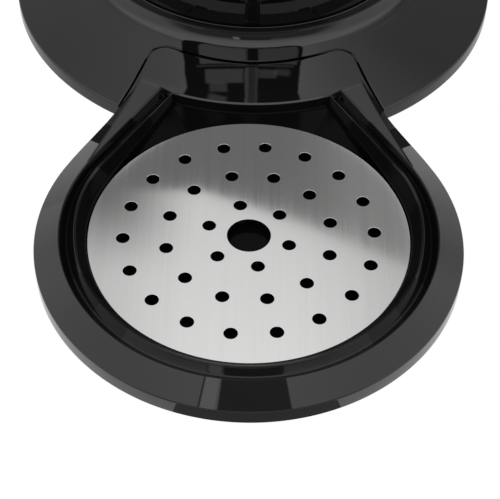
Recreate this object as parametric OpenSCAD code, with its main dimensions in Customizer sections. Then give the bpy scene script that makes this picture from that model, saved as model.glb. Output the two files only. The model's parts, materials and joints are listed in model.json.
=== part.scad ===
// Pod coffee machine: round foot, nesting drip tray, cylindrical column,
// cantilevered brew head with a hinged lid and locking bail, lift-out water tank.
// Frame: millimetres, +Z up, -Y is the front, origin on the table under the
// middle of the machine's footprint.

/* [Drip tray] */
// Outer radius of the tray's round rim
tray_r = 78.6; // [78:0.1:79]
// Radius of the crest where the sloping rim meets the flat land
crest_r = 70.4; // [70:0.1:71]
// Radius of the tray's well, inside the flat land
well_r = 65.6; // [65:0.1:66]
// Radius of the perforated steel grate
grate_r = 60; // [59:0.5:61]
// Thickness of the steel grate
grate_t = 0.8; // [0.6:0.1:1]
// Radius of the grate's small drain holes
drain_r = 2.5; // [2:0.1:3]
// Radius of the grate's middle finger hole
finger_r = 7.5; // [7:0.5:9]
// Turn of the grate's hole pattern about its own axis
grate_turn = -17.15; // [-30:0.05:30]

/* [Foot] */
// Radius of the round foot
foot_r = 105; // [104:0.5:106]
// Distance from the grate's centre to the foot's centre
foot_gap = 162; // [161.5:0.5:162.5]
// Clear height under the foot's edge
edge_lift = 2; // [1.8:0.1:2.2]

/* [Column] */
// Outer radius of the column
col_r = 71.4; // [71:0.1:71.5]
// Distance from the grate's centre to the column's centre
col_gap = 181; // [180.5:0.5:181.5]

/* [Head] */
// Outer radius of the head's round front
head_r = 66; // [65.5:0.1:66.5]
// Height of the head's underside above the table
head_z = 184; // [183:0.5:185]
// Height of the split between the head and its lid
split_z = 236; // [235.5:0.5:236.5]
// Height of the head's top
top_z = 272; // [271.5:0.5:272.5]
// Height of the coffee outlets above the table
spout_z = 141; // [138:1:145]

/* [Controls] */
// Radius of the two cup buttons
cup_button_r = 9; // [8:0.5:10]
// Radius of the power button
power_button_r = 12; // [11:0.5:12]
// How far a button travels
button_travel = 1.2; // [1:0.1:1.5]

/* [Hidden] */
$fn = 96;

YT = -(foot_gap + foot_r - tray_r) / 2;  // grate centre
YB = YT + foot_gap;                      // foot centre
YC = YT + col_gap;                       // column centre
e = 0.01;
gap = 0.6;                               // seam between shells
rim_z = edge_lift + 6.2;                 // top of every outer edge
crest_z = edge_lift + 13.4;              // crest of the tray rim
grate_z = edge_lift + 8.5;               // top of the grate
floor_z = edge_lift + 4.4;               // floor of the well
cone_k = 0.0897;                         // slope of the foot's top
shelf_z = 12.4;                          // seat of the column and the tank
collar_z = 18.5;                         // top of the collar round the column
hinge_y = 62;                            // lid hinge, from the grate centre
hinge_z = 270;
lever_y = 20;                            // bail pivot, from the grate centre
lever_z = 250;
valve_y = 42;                            // tank valve, from the column centre
btn_y = 112;                             // buttons, from the grate centre
btn_x = 33;
feet_a = [45, 135, 228, 312];             // where the foot's rubber feet stand

module at_tray() translate([0, YT, 0]) children();
module at_base() translate([0, YB, 0]) children();
module at_col() translate([0, YC, 0]) children();
function polar(r, a) = [r * cos(a), r * sin(a)];
function cone_z(rho) = rim_z + (foot_r - rho) * cone_k;

// ---- plan shapes, drawn from the grate centre ----
// Side of the tray's neck as a smooth curve, offset outward by g
function bez(a, b, c, d, t) = a * pow(1 - t, 3) + b * 3 * t * pow(1 - t, 2) + c * 3 * t * t * (1 - t) + d * pow(t, 3);
function bezd(a, b, c, d, t) = (b - a) * 3 * pow(1 - t, 2) + (c - b) * 6 * t * (1 - t) + (d - c) * 3 * t * t;
NA = polar(tray_r, 153); NB = NA + 21 * [sin(27), cos(27)];
ND = [-44, 97]; NC = ND - 21 * [sin(17), cos(17)];
function side_pt(t, g) = let (d = bezd(NA, NB, NC, ND, t), n = [-d[1], d[0]] / norm(d)) bez(NA, NB, NC, ND, t) + g * n;
function neck_left(g) = concat([for (i = [0:14]) side_pt(i / 14, g)],
  [for (i = [0:7]) [-36.9, 98.2] + polar(6.5 + g, 163 - i * 103 / 7)],
  [for (i = [1:6]) [0, foot_gap] + polar(67 - g, 240 + i * 5)]);
module neck_plan(g = 0) polygon(concat([[0, 0]], neck_left(g), [for (i = [len(neck_left(g)) - 2:-1:0]) [-neck_left(g)[i][0], neck_left(g)[i][1]]]));
module tray_plan(g = 0) { circle(r = tray_r + g); neck_plan(g); }
// The well: a circle, two tangents leaning 27 degrees, and an arc about the foot centre
module drop_plan(r, back) difference() {
  union() { circle(r = r); polygon([polar(r, 153), polar(r, 153) + 66 * [sin(27), cos(27)], polar(r, 27) + 66 * [-sin(27), cos(27)], polar(r, 27), [0, 0]]); }
  translate([0, foot_gap]) circle(r = back);
}
function tan_n(d, ra, rb) = [sqrt(1 - pow((rb - ra) / d, 2)), -(rb - ra) / d];
// Outline of the head: a round front, widening tangents, the column's round back cut flat
module head_plan(o = 0, back = 8.4) {
  n = tan_n(col_gap, head_r + o, col_r + o);
  pa = (head_r + o) * n; pb = [0, col_gap] + (col_r + o) * n;
  circle(r = head_r + o);
  polygon([[-pa[0], pa[1]], pa, pb, [-pb[0], pb[1]]]);
  intersection() { translate([0, col_gap]) circle(r = col_r + o); translate([-90, col_gap - 80]) square([180, 80 + back]); }
}
// The same outline as a list of points, for lofting; every ring has as many points
function head_ring(z, o, cut) = let (n = tan_n(col_gap, head_r + o, col_r + o), q = atan2(n[1], n[0]), f = asin(cut / (col_r + o)), m = 44)
  concat([for (i = [0:m]) let (a = 180 - q + (180 + 2 * q) * i / m) [(head_r + o) * cos(a), (head_r + o) * sin(a), z]],
    [for (i = [0:4]) let (a = q + (f - q) * i / 4) [(col_r + o) * cos(a), col_gap + (col_r + o) * sin(a), z]],
    [for (i = [0:4]) let (a = 180 - f + (f - q) * i / 4) [(col_r + o) * cos(a), col_gap + (col_r + o) * sin(a), z]]);
module loft(rings) {
  n = len(rings[0]); k = len(rings);
  polyhedron([for (r = rings) each r], concat([[for (i = [0:n - 1]) i]], [[for (i = [n - 1:-1:0]) (k - 1) * n + i]],
    [for (j = [0:k - 2]) for (i = [0:n - 1]) [j * n + i, (j + 1) * n + i, (j + 1) * n + (i + 1) % n]],
    [for (j = [0:k - 2]) for (i = [0:n - 1]) [j * n + i, (j + 1) * n + (i + 1) % n, j * n + (i + 1) % n]]));
}
// Quarter-round of radius r between the flat underside or top and the wall, as [drop, inset] pairs
function low_rings(t) = concat([for (i = [0:6]) let (a = 15 * i, r = 18 - t) head_ring(head_z + t + r * (1 - cos(a)), -t - r * (1 - sin(a)), 8.4 - t)], [head_ring(split_z + (t > 0 ? 2 : 0), -t, 8.4 - t)]);
function top_rings(t) = concat([head_ring(split_z + 0.4 - (t > 0 ? 2 : 0), -t, 8.4 - t)], [for (i = [6:-1:0]) let (a = 15 * i, r = 15 - t) head_ring(top_z - t - r * (1 - cos(a)), -t - r * (1 - sin(a)), 8.4 - t)]);
module low_solid(t = 0) loft(low_rings(t));
module top_solid(t = 0) loft(top_rings(t));
// Helical wire from z0 to z1
module coil(r, wire, z0, z1, turns, n = 12, s = 6) {
  m = turns * n;
  pts = [for (i = [0:m]) let (a = 360 * i / n, z = z0 + wire + (z1 - z0 - 2 * wire) * i / m) for (k = [0:s - 1])
    [(r + wire * cos(360 * k / s)) * cos(a), (r + wire * cos(360 * k / s)) * sin(a), z + wire * sin(360 * k / s)]];
  polyhedron(pts, concat([[for (k = [0:s - 1]) k]], [for (i = [0:m - 1]) for (k = [0:s - 1]) [i * s + k, (i + 1) * s + k, (i + 1) * s + (k + 1) % s]],
    [for (i = [0:m - 1]) for (k = [0:s - 1]) [i * s + k, (i + 1) * s + (k + 1) % s, i * s + (k + 1) % s]], [[for (k = [s - 1:-1:0]) m * s + k]]));
}
// Quarter bend of a hose in the plane of its own X and Z
module bend(r, ro, ri) rotate([90, 0, 0]) rotate_extrude(angle = 90) translate([r, 0]) difference() { circle(r = ro); circle(r = ri); }
module tube(ro, ri, h) difference() { cylinder(r = ro, h = h); translate([0, 0, -1]) cylinder(r = ri, h = h + 2); }

// ---- foot ----
module disc_solid() at_base() rotate_extrude($fn = 180) polygon([[0, edge_lift], [foot_r, edge_lift], [foot_r, rim_z], [40, cone_z(40)], [0, cone_z(40)]]);
module base_cover() color([0.04, 0.04, 0.045]) difference() {
  union() {
    difference() {
      disc_solid();
      at_base() rotate_extrude($fn = 180) polygon([[0, 1], [foot_r - 2.2, 1], [foot_r - 2.2, rim_z - 2.2], [40, cone_z(40) - 2.4], [0, cone_z(40) - 2.4]]);
    }
    intersection() { disc_solid(); at_tray() linear_extrude(20) neck_plan(gap + 2.2); }
    at_col() rotate_extrude($fn = 180) polygon(concat([[60, shelf_z - 2], [78, shelf_z - 3.4], [84.3, rim_z - 1.2], [84.3, rim_z + 0.2]],
      [for (i = [0:8]) [81.2, 19.7] + polar(8.5, 270 - i * 81.9 / 8)], [[72, collar_z], [72, shelf_z], [60, shelf_z]]));
    intersection() { at_col() translate([0, 0, shelf_z - 2]) cylinder(r = 70, h = 2); at_base() cylinder(r = foot_r - 1, h = 30); }
  }
  at_tray() translate([0, 0, -1]) linear_extrude(30) neck_plan(gap);
  at_col() translate([0, 0, shelf_z]) cylinder(r = 72, h = 20);
  at_col() translate([0, -12, 0]) cylinder(r = 26, h = 30);
  at_col() translate([0, valve_y, 0]) cylinder(r = 13.3, h = 30);
}
module base_pan() color([0.1, 0.1, 0.1]) difference() {
  at_base() translate([0, 0, edge_lift]) cylinder(r = foot_r - 2.6, h = 2.2);
  at_tray() translate([0, 0, -1]) linear_extrude(30) neck_plan(gap + 2.6);
  for (a = feet_a) at_base() rotate(a) translate([88, 0, -1]) cylinder(r = 4, h = 8);
  for (a = [0, 90, 180]) at_base() rotate(a) translate([94, 0, -1]) cylinder(r = 1.7, h = 8);
  for (i = [-4:4]) at_base() translate([i * 8 - 1.5, -8, 0]) cube([3, 44, 8]);
}
module base_feet() color([0.05, 0.05, 0.05]) for (a = feet_a) at_base() rotate(a) translate([88, 0, 0]) {
  cylinder(r1 = 8, r2 = 8.6, h = edge_lift);
  cylinder(r = 3.9, h = edge_lift + 3);
}
module pan_screws() color([0.6, 0.6, 0.62]) for (a = [0, 90, 180]) at_base() rotate(a) translate([94, 0, 0]) difference() {
  union() { translate([0, 0, edge_lift - 1.2]) cylinder(r = 3.2, h = 1.2); translate([0, 0, edge_lift - 0.5]) cylinder(r = 1.6, h = 4.5); }
  translate([-0.4, -2.2, 0]) cube([0.8, 4.4, edge_lift - 0.7]);
  translate([-2.2, -0.4, 0]) cube([4.4, 0.8, edge_lift - 0.7]);
}
module cord_gland() color([0.06, 0.06, 0.06]) at_col() translate([0, -12, 34]) rotate([0, 90, 180]) {
  difference() {
    union() { translate([0, 0, 63.4]) cylinder(r = 7.8, h = 2); translate([0, 0, 63.4]) cylinder(r = 5.9, h = 10); translate([0, 0, 71.6]) cylinder(r1 = 7.6, r2 = 6.4, h = 3); }
    translate([0, 0, 60]) cylinder(r = 3.6, h = 20);
  }
}
module tank_socket() color([0.85, 0.85, 0.83]) at_col() translate([0, valve_y, 0]) difference() {
  union() { translate([0, 0, 5.2]) cylinder(r = 13, h = 7.2); translate([-5, -78, 5.2]) cube([10, 78, 5]); }
  translate([0, 0, 7]) difference() { cylinder(r = 9.2, h = 8); cylinder(r = 2, h = 2.7); }
  translate([0, 0, 8.2]) rotate([90, 0, 0]) cylinder(r = 1.2, h = 75);
  translate([0, -73, 8]) cylinder(r = 1.4, h = 5);
}
module socket_seal() color([0.75, 0.3, 0.2]) at_col() translate([0, valve_y, 0]) rotate_extrude() translate([8.68, 11.2]) circle(r = 0.5, $fn = 24);

// ---- drip tray ----
// Raised shoulder between the round rim and the neck, falling to the foot's surface
module shoulder(s) mirror([s > 0 ? 1 : 0, 0, 0]) hull() {
  rotate(153) translate([crest_r - 6, -0.1, edge_lift]) { cube([6, 0.2, 13.4]); cube([tray_r - crest_r + 6, 0.2, 6.2]); }
  translate([0, 0, edge_lift]) {
    linear_extrude(8) polygon([[-37.2, 82.2], [-31.9, 79.5], [-31.9, 79.3], [-37.2, 82]]);
    translate([-53.9, 68.4, 0]) cube([0.2, 0.2, 6.3]);
    translate([-45.4, 73.6, 0]) cube([0.2, 0.2, 6.7]);
  }
}
module tray_solid() {
  rotate_extrude($fn = 180) polygon([[0, edge_lift], [tray_r, edge_lift], [tray_r, rim_z], [crest_r, crest_z], [0, crest_z]]);
  translate([0, 0, edge_lift]) linear_extrude(6.2) neck_plan();
  intersection() { translate([0, 0, edge_lift]) linear_extrude(20) neck_plan(); translate([0, -YT, 0]) disc_solid(); }
  shoulder(-1); shoulder(1);
}
module drip_tray() color([0.05, 0.05, 0.055]) at_tray() difference() {
  union() {
    difference() {
      tray_solid();
      translate([0, 0, floor_z]) linear_extrude(20) drop_plan(well_r, 89.5);
      translate([0, 0, -1]) rotate_extrude($fn = 180) polygon([[0, 0], [63, 0], [63, floor_z - 1.2], [0, floor_z - 1.2]]);
      difference() {
        translate([0, 0, -1]) rotate_extrude($fn = 180) polygon([[well_r + 2.2, 0], [tray_r - 2.2, 0], [tray_r - 2.2, rim_z - 1], [crest_r - 1, crest_z - 1.8], [well_r + 2.2, crest_z - 1.8]]);
        translate([0, 0, -2]) linear_extrude(30) { drop_plan(well_r + 2.2, 87.3); polygon([[0, 0], [-80, 50], [-80, 120], [80, 120], [80, 50]]); }
      }
      difference() {
        translate([0, 0, -1]) linear_extrude(9.2) difference() { neck_plan(-2.2); drop_plan(well_r + 2.2, 87.3); polygon([[0, 0], [-80, 50], [-100, 0], [-80, -80], [80, -80], [100, 0], [80, 50]]); translate([0, foot_gap]) circle(r = 69.2); }
        translate([0, 0, -2]) for (s = [-1, 1]) translate([s * 20 - 1, 60, 0]) cube([2, 60, 30]);
      }
    }
    for (i = [0:7]) rotate(22.5 + 45 * i) translate([54.5, 0, floor_z - 1]) cylinder(r = 2.6, h = grate_z - grate_t - floor_z + 1);
  }
}
module tray_pads() color([0.05, 0.05, 0.05]) at_tray() for (p = [[-42, -34], [42, -34], [-38, 40], [38, 40]]) translate([p[0], p[1], 0]) cylinder(r = 6, h = floor_z - 2.2);
module drip_grate() color([0.78, 0.78, 0.79]) at_tray() translate([0, 0, grate_z - grate_t]) rotate(grate_turn) difference() {
  cylinder(r = grate_r, h = grate_t, $fn = 180);
  translate([0, 0, -1]) cylinder(r = finger_r, h = 3);
  for (k = [1:3]) for (i = [0:6 * k - 1]) rotate(360 / (6 * k) * i) translate([15.6 * k, 0, -1]) cylinder(r = drain_r, h = 3, $fn = 32);
}

// ---- column ----
module column_casing() color([0.04, 0.04, 0.045]) at_col() difference() {
  translate([0, 0, shelf_z]) cylinder(r = col_r, h = split_z - shelf_z, $fn = 180);
  translate([0, 0, shelf_z - 1]) cylinder(r = col_r - 2.6, h = 300, $fn = 180);
  translate([-90, 8.4, 0]) cube([180, 90, 300]);
  // window into the head
  translate([-50, -90, head_z + 18]) cube([100, 60, 100]);
  // groove for the trim strip
  translate([-2.5, -col_r - 1, 21.5]) cube([5, 2.3, 160]);
  // cord entry
  translate([0, -12, 34]) rotate([0, -90, 0]) cylinder(r = 6, h = 90);
}
module column_trim() color([0.07, 0.07, 0.075]) at_col() intersection() {
  translate([-2.2, -col_r - 0.4, 21.8]) cube([4.4, 1.65, 159.4]);
  cylinder(r = col_r + 0.35, h = 300, $fn = 180);
}
module column_back() color([0.06, 0.06, 0.06]) at_col() difference() {
  translate([-68, 6, shelf_z]) cube([136, 2.4, 222.5]);
  translate([0, 20, 30]) rotate([90, 0, 0]) cylinder(r = 5, h = 30);
  for (i = [0:5]) translate([-30, 0, 150 + i * 9]) cube([60, 20, 3]);
}
module chassis() color([0.5, 0.5, 0.5]) at_col() difference() {
  union() {
    intersection() { translate([0, 0, shelf_z]) cylinder(r = 67.5, h = 2.4); translate([-80, -80, 0]) cube([160, 85.6, 60]); }
    for (s = [-1, 1]) translate([s * 45 - 1.5, -40, shelf_z + 2]) cube([3, 45, 190]);
    for (z = [106, 196]) intersection() { translate([-44, -54, z]) cube([88, 59, 2.4]); cylinder(r = 67.5, h = 300); }
  }
  translate([0, -12, 0]) cylinder(r = 25, h = 30);
  translate([0, -31, 150]) cylinder(r = 12, h = 100);
  translate([0, -31, 90]) cylinder(r = 9, h = 30);
  for (s = [-1, 1]) for (i = [0:3]) translate([s * 45 - 5, -18, 30 + i * 42]) cube([10, 16, 24]);
}
module pump() color([0.2, 0.2, 0.22]) at_col() translate([0, -31, 0]) difference() {
  union() {
    translate([0, 0, 34]) cylinder(r = 21, h = 46);
    translate([-24, -17, 46]) cube([48, 34, 24]);
    translate([0, 0, 80]) cylinder(r = 9, h = 14);
    translate([0, 0, 22]) cylinder(r = 7, h = 12);
    translate([0, 0, 94]) cylinder(r = 2.4, h = 5);
  }
  translate([0, 0, 18]) cylinder(r = 1.4, h = 90);
}
module pump_mounts() color([0.08, 0.08, 0.08]) at_col() translate([0, -31, 0]) for (s = [-1, 1]) translate([s * 33.75 - 9.65, 0, 58]) rotate([0, 90, 0]) cylinder(r = 7, h = 19.3);
module boiler() color([0.75, 0.75, 0.77]) at_col() translate([0, -31, 0]) difference() {
  union() {
    translate([0, 0, 112]) cylinder(r1 = 29, r2 = 32, h = 6);
    translate([0, 0, 118]) cylinder(r = 32, h = 66);
    translate([0, 0, 184]) cylinder(r1 = 32, r2 = 28, h = 5);
    translate([0, 0, 188]) cylinder(r = 4, h = 18);
    translate([0, 0, 104]) cylinder(r = 2.4, h = 9);
  }
  translate([0, 0, 115]) cylinder(r = 27, h = 70);
  translate([0, 0, 100]) cylinder(r = 1.4, h = 120);
}
module boiler_clamp() color([0.6, 0.6, 0.62]) at_col() translate([0, -31, 146]) difference() {
  union() { cylinder(r = 33.4, h = 12); translate([-43.3, -6, 0]) cube([86.6, 12, 12]); }
  translate([0, 0, -1]) cylinder(r = 32.03, h = 14);
}
module thermostat() color([0.1, 0.1, 0.12]) at_col() translate([0, -31, 170]) rotate([0, 90, 0]) { translate([0, 0, 32.2]) cylinder(r = 7, h = 6); translate([-1.5, -10, 38.2]) cube([3, 20, 0.8]); }
module relief_valve() color([0.8, 0.65, 0.3]) at_col() translate([0, -31, 206]) difference() { union() { cylinder(r = 6, h = 14, $fn = 6); translate([0, 0, 14]) cylinder(r = 3.4, h = 5); } translate([0, 0, -1]) cylinder(r = 1.4, h = 30); }
module inlet_hose() color([0.8, 0.8, 0.78]) at_col() translate([0, -31, 10.4]) tube(3.6, 1.8, 11.6);
module feed_hose() color([0.8, 0.8, 0.78]) at_col() translate([0, -31, 99]) tube(2.4, 1.4, 5);
module brew_hose() color([0.8, 0.8, 0.78]) at_col() translate([0, -31, 0]) {
  translate([0, 0, 225]) tube(3.4, 2, 4);
  translate([0, -12, 229]) rotate([0, 0, 90]) bend(12, 3.4, 2);
  translate([0, -12, 241]) rotate([90, 0, 0]) tube(3.4, 2, 73);
}
module power_board() color([0.1, 0.35, 0.2]) at_col() translate([-56, -24, 62]) { cube([1.6, 26, 70]); translate([1.6, 3, 8]) cube([7, 12, 16]); translate([1.6, 3, 36]) cube([5, 18, 12]); }

// ---- head ----
module spout_holes() for (s = [-1, 1]) translate([s * 8, 0, spout_z - 1]) cylinder(r = 3, h = 30);
module head_lower() color([0.05, 0.05, 0.055]) difference() {
  at_tray() difference() {
    union() {
      difference() { low_solid(); low_solid(2.6); }
      for (a = [30, 150, 270]) rotate(a) translate([57, 0, head_z + (a == 270 ? 6 : 1.5)]) cylinder(r = 4, h = 209.9 - head_z - (a == 270 ? 6 : 1.5));
    }
    translate([0, 0, head_z - 5]) cylinder(r = 22, h = 20);
    for (a = [30, 150, 270]) rotate(a) translate([57, 0, 203]) cylinder(r = 1.4, h = 20);
  }
  at_col() translate([0, 0, head_z - 10]) cylinder(r = col_r + 0.1, h = 100, $fn = 180);
}
module top_cover() color([0.05, 0.05, 0.055]) at_tray() difference() {
  union() {
    difference() {
      union() {
        intersection() { difference() { top_solid(); top_solid(2.6); } translate([-90, hinge_y + 0.3, split_z + 0.4]) cube([180, 150, 60]); }
        translate([-66, hinge_y + 0.3, split_z + 0.4]) cube([132, 2.4, 27]);
        for (x = [-btn_x, 0, btn_x]) translate([x, btn_y, top_z - 14]) cylinder(r = (x == 0 ? power_button_r : cup_button_r) + 2.4, h = 12);
        for (x = [-42, 42]) for (y = [-11, 11]) translate([x, btn_y + y, top_z - 18]) cylinder(r = 2, h = 16);
      }
      translate([-54.2, hinge_y, hinge_z]) rotate([0, 90, 0]) cylinder(r = 5.8, h = 108.4);
      translate([-80, hinge_y, hinge_z]) rotate([0, 90, 0]) cylinder(r = 2.8, h = 160);
    }
    for (s = [-1, 1]) translate([s * 47.2 - 6.2, hinge_y, hinge_z]) { rotate([0, 90, 0]) cylinder(r = 4, h = 12.4); translate([0, 0.4, -8]) cube([12.4, 4, 8]); }
  }
  translate([-80, hinge_y, hinge_z]) rotate([0, 90, 0]) cylinder(r = 1.5, h = 160);
  for (x = [-btn_x, 0, btn_x]) translate([x, btn_y, top_z - 20]) cylinder(r = (x == 0 ? power_button_r : cup_button_r) + 0.3, h = 30);
  translate([0, btn_y, top_z - 0.8]) linear_extrude(2) { square([76, 34], center = true); for (s = [-1, 1]) translate([s * 38, 0]) circle(r = 17); }
}
module hinge_pin() color([0.75, 0.75, 0.76]) at_tray() translate([-53.4, hinge_y, hinge_z]) rotate([0, 90, 0]) cylinder(r = 1.5, h = 106.8);
module head_screws() color([0.6, 0.6, 0.62]) at_tray() for (a = [30, 150, 270]) rotate(a) translate([57, 0, 0]) difference() {
  union() { translate([0, 0, 203.4]) cylinder(r = 1.4, h = 30.7); translate([0, 0, 234]) cylinder(r = 2.8, h = 1.8); }
  translate([-0.4, -1.9, 235]) cube([0.8, 3.8, 2]);
  translate([-1.9, -0.4, 235]) cube([3.8, 0.8, 2]);
}
module brew_bowl() color([0.12, 0.12, 0.12]) at_tray() difference() {
  union() {
    rotate_extrude() polygon([[26, 206], [52, 216], [52, 235.6], [47, 235.6], [47, 221.6], [42.6, 219.6], [26, 211]]);
    for (a = [30, 150, 270]) rotate(a) translate([50, -4, 210]) cube([12.4, 8, 24]);
    for (a = [0, 120, 240]) rotate(a) translate([43.4, -3, 219]) cube([4.6, 6, 14.3]);
  }
  translate([-7.6, -60, 233]) cube([15.2, 20, 10]);
  for (a = [30, 150, 270]) rotate(a) translate([57, 0, 200]) cylinder(r = 1.4, h = 50);
}
module pod_holder() color([0.15, 0.15, 0.16]) at_tray() difference() {
  union() { rotate_extrude() polygon([[0, 222], [36, 222], [41, 226], [41, 233.4], [46.5, 233.4], [46.5, 236], [38, 236], [38, 227.4], [35.6, 224.6], [0, 224.6]]); translate([-7, -53.8, 233.6]) cube([14, 9.8, 2.4]); }
  translate([0, 0, 220]) cylinder(r = 2.4, h = 10);
}
module pod_sieve() color([0.78, 0.78, 0.79]) at_tray() translate([0, 0, 224.8]) difference() {
  cylinder(r = 34.8, h = 0.7);
  for (k = [1:4]) for (i = [0:6 * k - 1]) rotate(360 / (6 * k) * i + k * 9) translate([7.4 * k, 0, -1]) cylinder(r = 1.3, h = 3, $fn = 16);
}
module coffee_collector() color([0.15, 0.15, 0.16]) at_tray() difference() {
  rotate_extrude() polygon([[5, 196], [9, 196], [11, 203.8], [25.5, 205.2], [25.5, 211.6], [33, 215.4], [33, 221.4], [31, 221.4], [31, 216.7], [23.5, 212.4], [23.5, 207.6], [8, 206.2], [5, 203]]);
}
module spout() color([0.06, 0.06, 0.065]) at_tray() difference() {
  union() {
    translate([0, 0, 178]) cylinder(r = 20, h = 17.6);
    translate([0, 0, head_z + 2.8]) cylinder(r = 24.5, h = 2.2);
    translate([0, 0, 166]) cylinder(r1 = 15, r2 = 20, h = 12);
    for (s = [-1, 1]) translate([s * 8, 0, spout_z]) cylinder(r1 = 4.6, r2 = 6.4, h = 28);
    translate([-8, -6.2, spout_z + 12]) cube([16, 12.4, 16]);
  }
  translate([0, 0, 180]) cylinder(r1 = 9, r2 = 15, h = 16);
  for (s = [-1, 1]) translate([s * 8, 0, spout_z - 1]) cylinder(r = 2.6, h = 44);
}
module brew_lid() color([0.05, 0.05, 0.055]) at_tray() difference() {
  union() {
    intersection() {
      difference() { top_solid(); top_solid(2.6); }
      translate([-90, -90, split_z + 0.4]) cube([180, 90 + hinge_y - 0.3, 60]);
    }
    translate([-65.5, hinge_y - 2.7, split_z + 0.4]) cube([131, 2.4, 27]);
    translate([-40, hinge_y, hinge_z]) rotate([0, 90, 0]) cylinder(r = 4, h = 80);
    difference() { translate([-40, hinge_y - 8, hinge_z - 6]) cube([80, 8, 6]); translate([-41, hinge_y - 0.3, hinge_z - 7]) cube([82, 9, 3]); }
    for (s = [-1, 1]) translate([s * 60, lever_y, lever_z]) rotate([0, 90, 0]) translate([0, 0, -5]) cylinder(r = 6, h = 10);
  }
  for (x = [-54.4, 40.2]) translate([x, hinge_y, hinge_z]) rotate([0, 90, 0]) cylinder(r = 5, h = 14.2);
  difference() { translate([-41, hinge_y + 0.01, hinge_z - 0.01]) cube([82, 9, 9]); translate([-41, hinge_y, hinge_z]) rotate([0, 90, 0]) cylinder(r = 4, h = 82); }
  translate([-90, hinge_y, hinge_z]) rotate([0, 90, 0]) cylinder(r = 1.56, h = 180);
  translate([-90, lever_y, lever_z]) rotate([0, 90, 0]) cylinder(r = 2.46, h = 180);
}
module lid_liner() color([0.12, 0.12, 0.12]) at_tray() difference() {
  union() {
    translate([0, 0, split_z + 1]) linear_extrude(2) intersection() { head_plan(-3); translate([-90, -90]) square([180, 90 + hinge_y - 3]); }
    translate([0, 0, split_z + 2.5]) cylinder(r = 40, h = 6);
  }
  translate([0, 0, 230]) cylinder(r = 5, h = 30);
}
module spray_disc() color([0.78, 0.78, 0.79]) at_tray() difference() {
  translate([0, 0, split_z - 1.8]) cylinder(r = 34, h = 2.7);
  for (k = [1:3]) for (i = [0:6 * k - 1]) rotate(360 / (6 * k) * i + k * 7) translate([9 * k, 0, 230]) cylinder(r = 0.9, h = 12, $fn = 16);
}
module lid_seal() color([0.35, 0.34, 0.33]) at_tray() difference() { translate([0, 0, split_z - 1.5]) cylinder(r = 36.6, h = 2.4); translate([0, 0, 230]) cylinder(r = 34.05, h = 10); }
module lock_lever() color([0.75, 0.75, 0.77]) at_tray() difference() {
  union() {
    difference() {
      union() {
        translate([0, 0, lever_z - 6]) cylinder(r = 71.6, h = 12, $fn = 180);
        translate([-13, -77.5, lever_z - 5]) cube([26, 12, 10]);
      }
      translate([0, 0, lever_z - 10]) cylinder(r = 67.6, h = 20, $fn = 180);
      translate([-90, 0, lever_z - 10]) cube([180, 90, 20]);
    }
    for (s = [-1, 1]) translate([s * 69.6 - 2, -0.1, lever_z - 6]) cube([4, lever_y + 0.1, 12]);
    for (s = [-1, 1]) translate([s * 69.6 - 2, lever_y, lever_z]) rotate([0, 90, 0]) cylinder(r = 6, h = 4);
  }
  translate([-90, lever_y, lever_z]) rotate([0, 90, 0]) cylinder(r = 2.4, h = 180);
}
module lever_pins() color([0.75, 0.75, 0.77]) at_tray() for (s = [-1, 1]) translate([s * 64.3 - 7.3, lever_y, lever_z]) rotate([0, 90, 0]) cylinder(r = 2.4, h = 14.6);

// ---- controls ----
module button_at(x, r) at_tray() translate([x, btn_y, 0]) {
  translate([0, 0, top_z - 7]) cylinder(r = r, h = 7 + button_travel + 0.6);
  translate([0, 0, top_z - 14]) cylinder(r = 3, h = 7);
}
module button_one_cup() color([0.08, 0.08, 0.085]) button_at(-btn_x, cup_button_r);
module button_power() color([0.75, 0.75, 0.77]) button_at(0, power_button_r);
module button_two_cups() color([0.08, 0.08, 0.085]) button_at(btn_x, cup_button_r);
module spring_at(x) at_tray() translate([x, btn_y, 0]) coil(5, 0.4, top_z - 17.95, top_z - 7.05, 5);
module spring_one_cup() color([0.7, 0.7, 0.72]) spring_at(-btn_x);
module spring_power() color([0.7, 0.7, 0.72]) spring_at(0);
module spring_two_cups() color([0.7, 0.7, 0.72]) spring_at(btn_x);
module button_board() color([0.1, 0.35, 0.2]) at_tray() translate([0, btn_y, top_z - 19.6]) { translate([-48, -14, 0]) cube([96, 28, 1.6]); for (x = [-btn_x, 0, btn_x]) translate([x - 3, -3, 1.6]) cube([6, 6, 2.4]); }
module panel_plate() color([0.02, 0.02, 0.025]) at_tray() translate([0, btn_y, top_z - 0.8]) difference() {
  linear_extrude(1) { square([76, 33.6], center = true); for (s = [-1, 1]) translate([s * 38, 0]) circle(r = 16.8); }
  for (s = [-1, 1]) translate([s * btn_x, 0, -1]) cylinder(r = cup_button_r + 0.4, h = 4);
  translate([0, 0, -1]) cylinder(r = power_button_r + 2.8, h = 4);
}
module light_ring() color([0.9, 0.92, 0.95, 0.8]) at_tray() translate([0, btn_y, top_z - 0.8]) difference() { cylinder(r = power_button_r + 2.6, h = 1.3); translate([0, 0, -1]) cylinder(r = power_button_r + 0.4, h = 4); }

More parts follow.
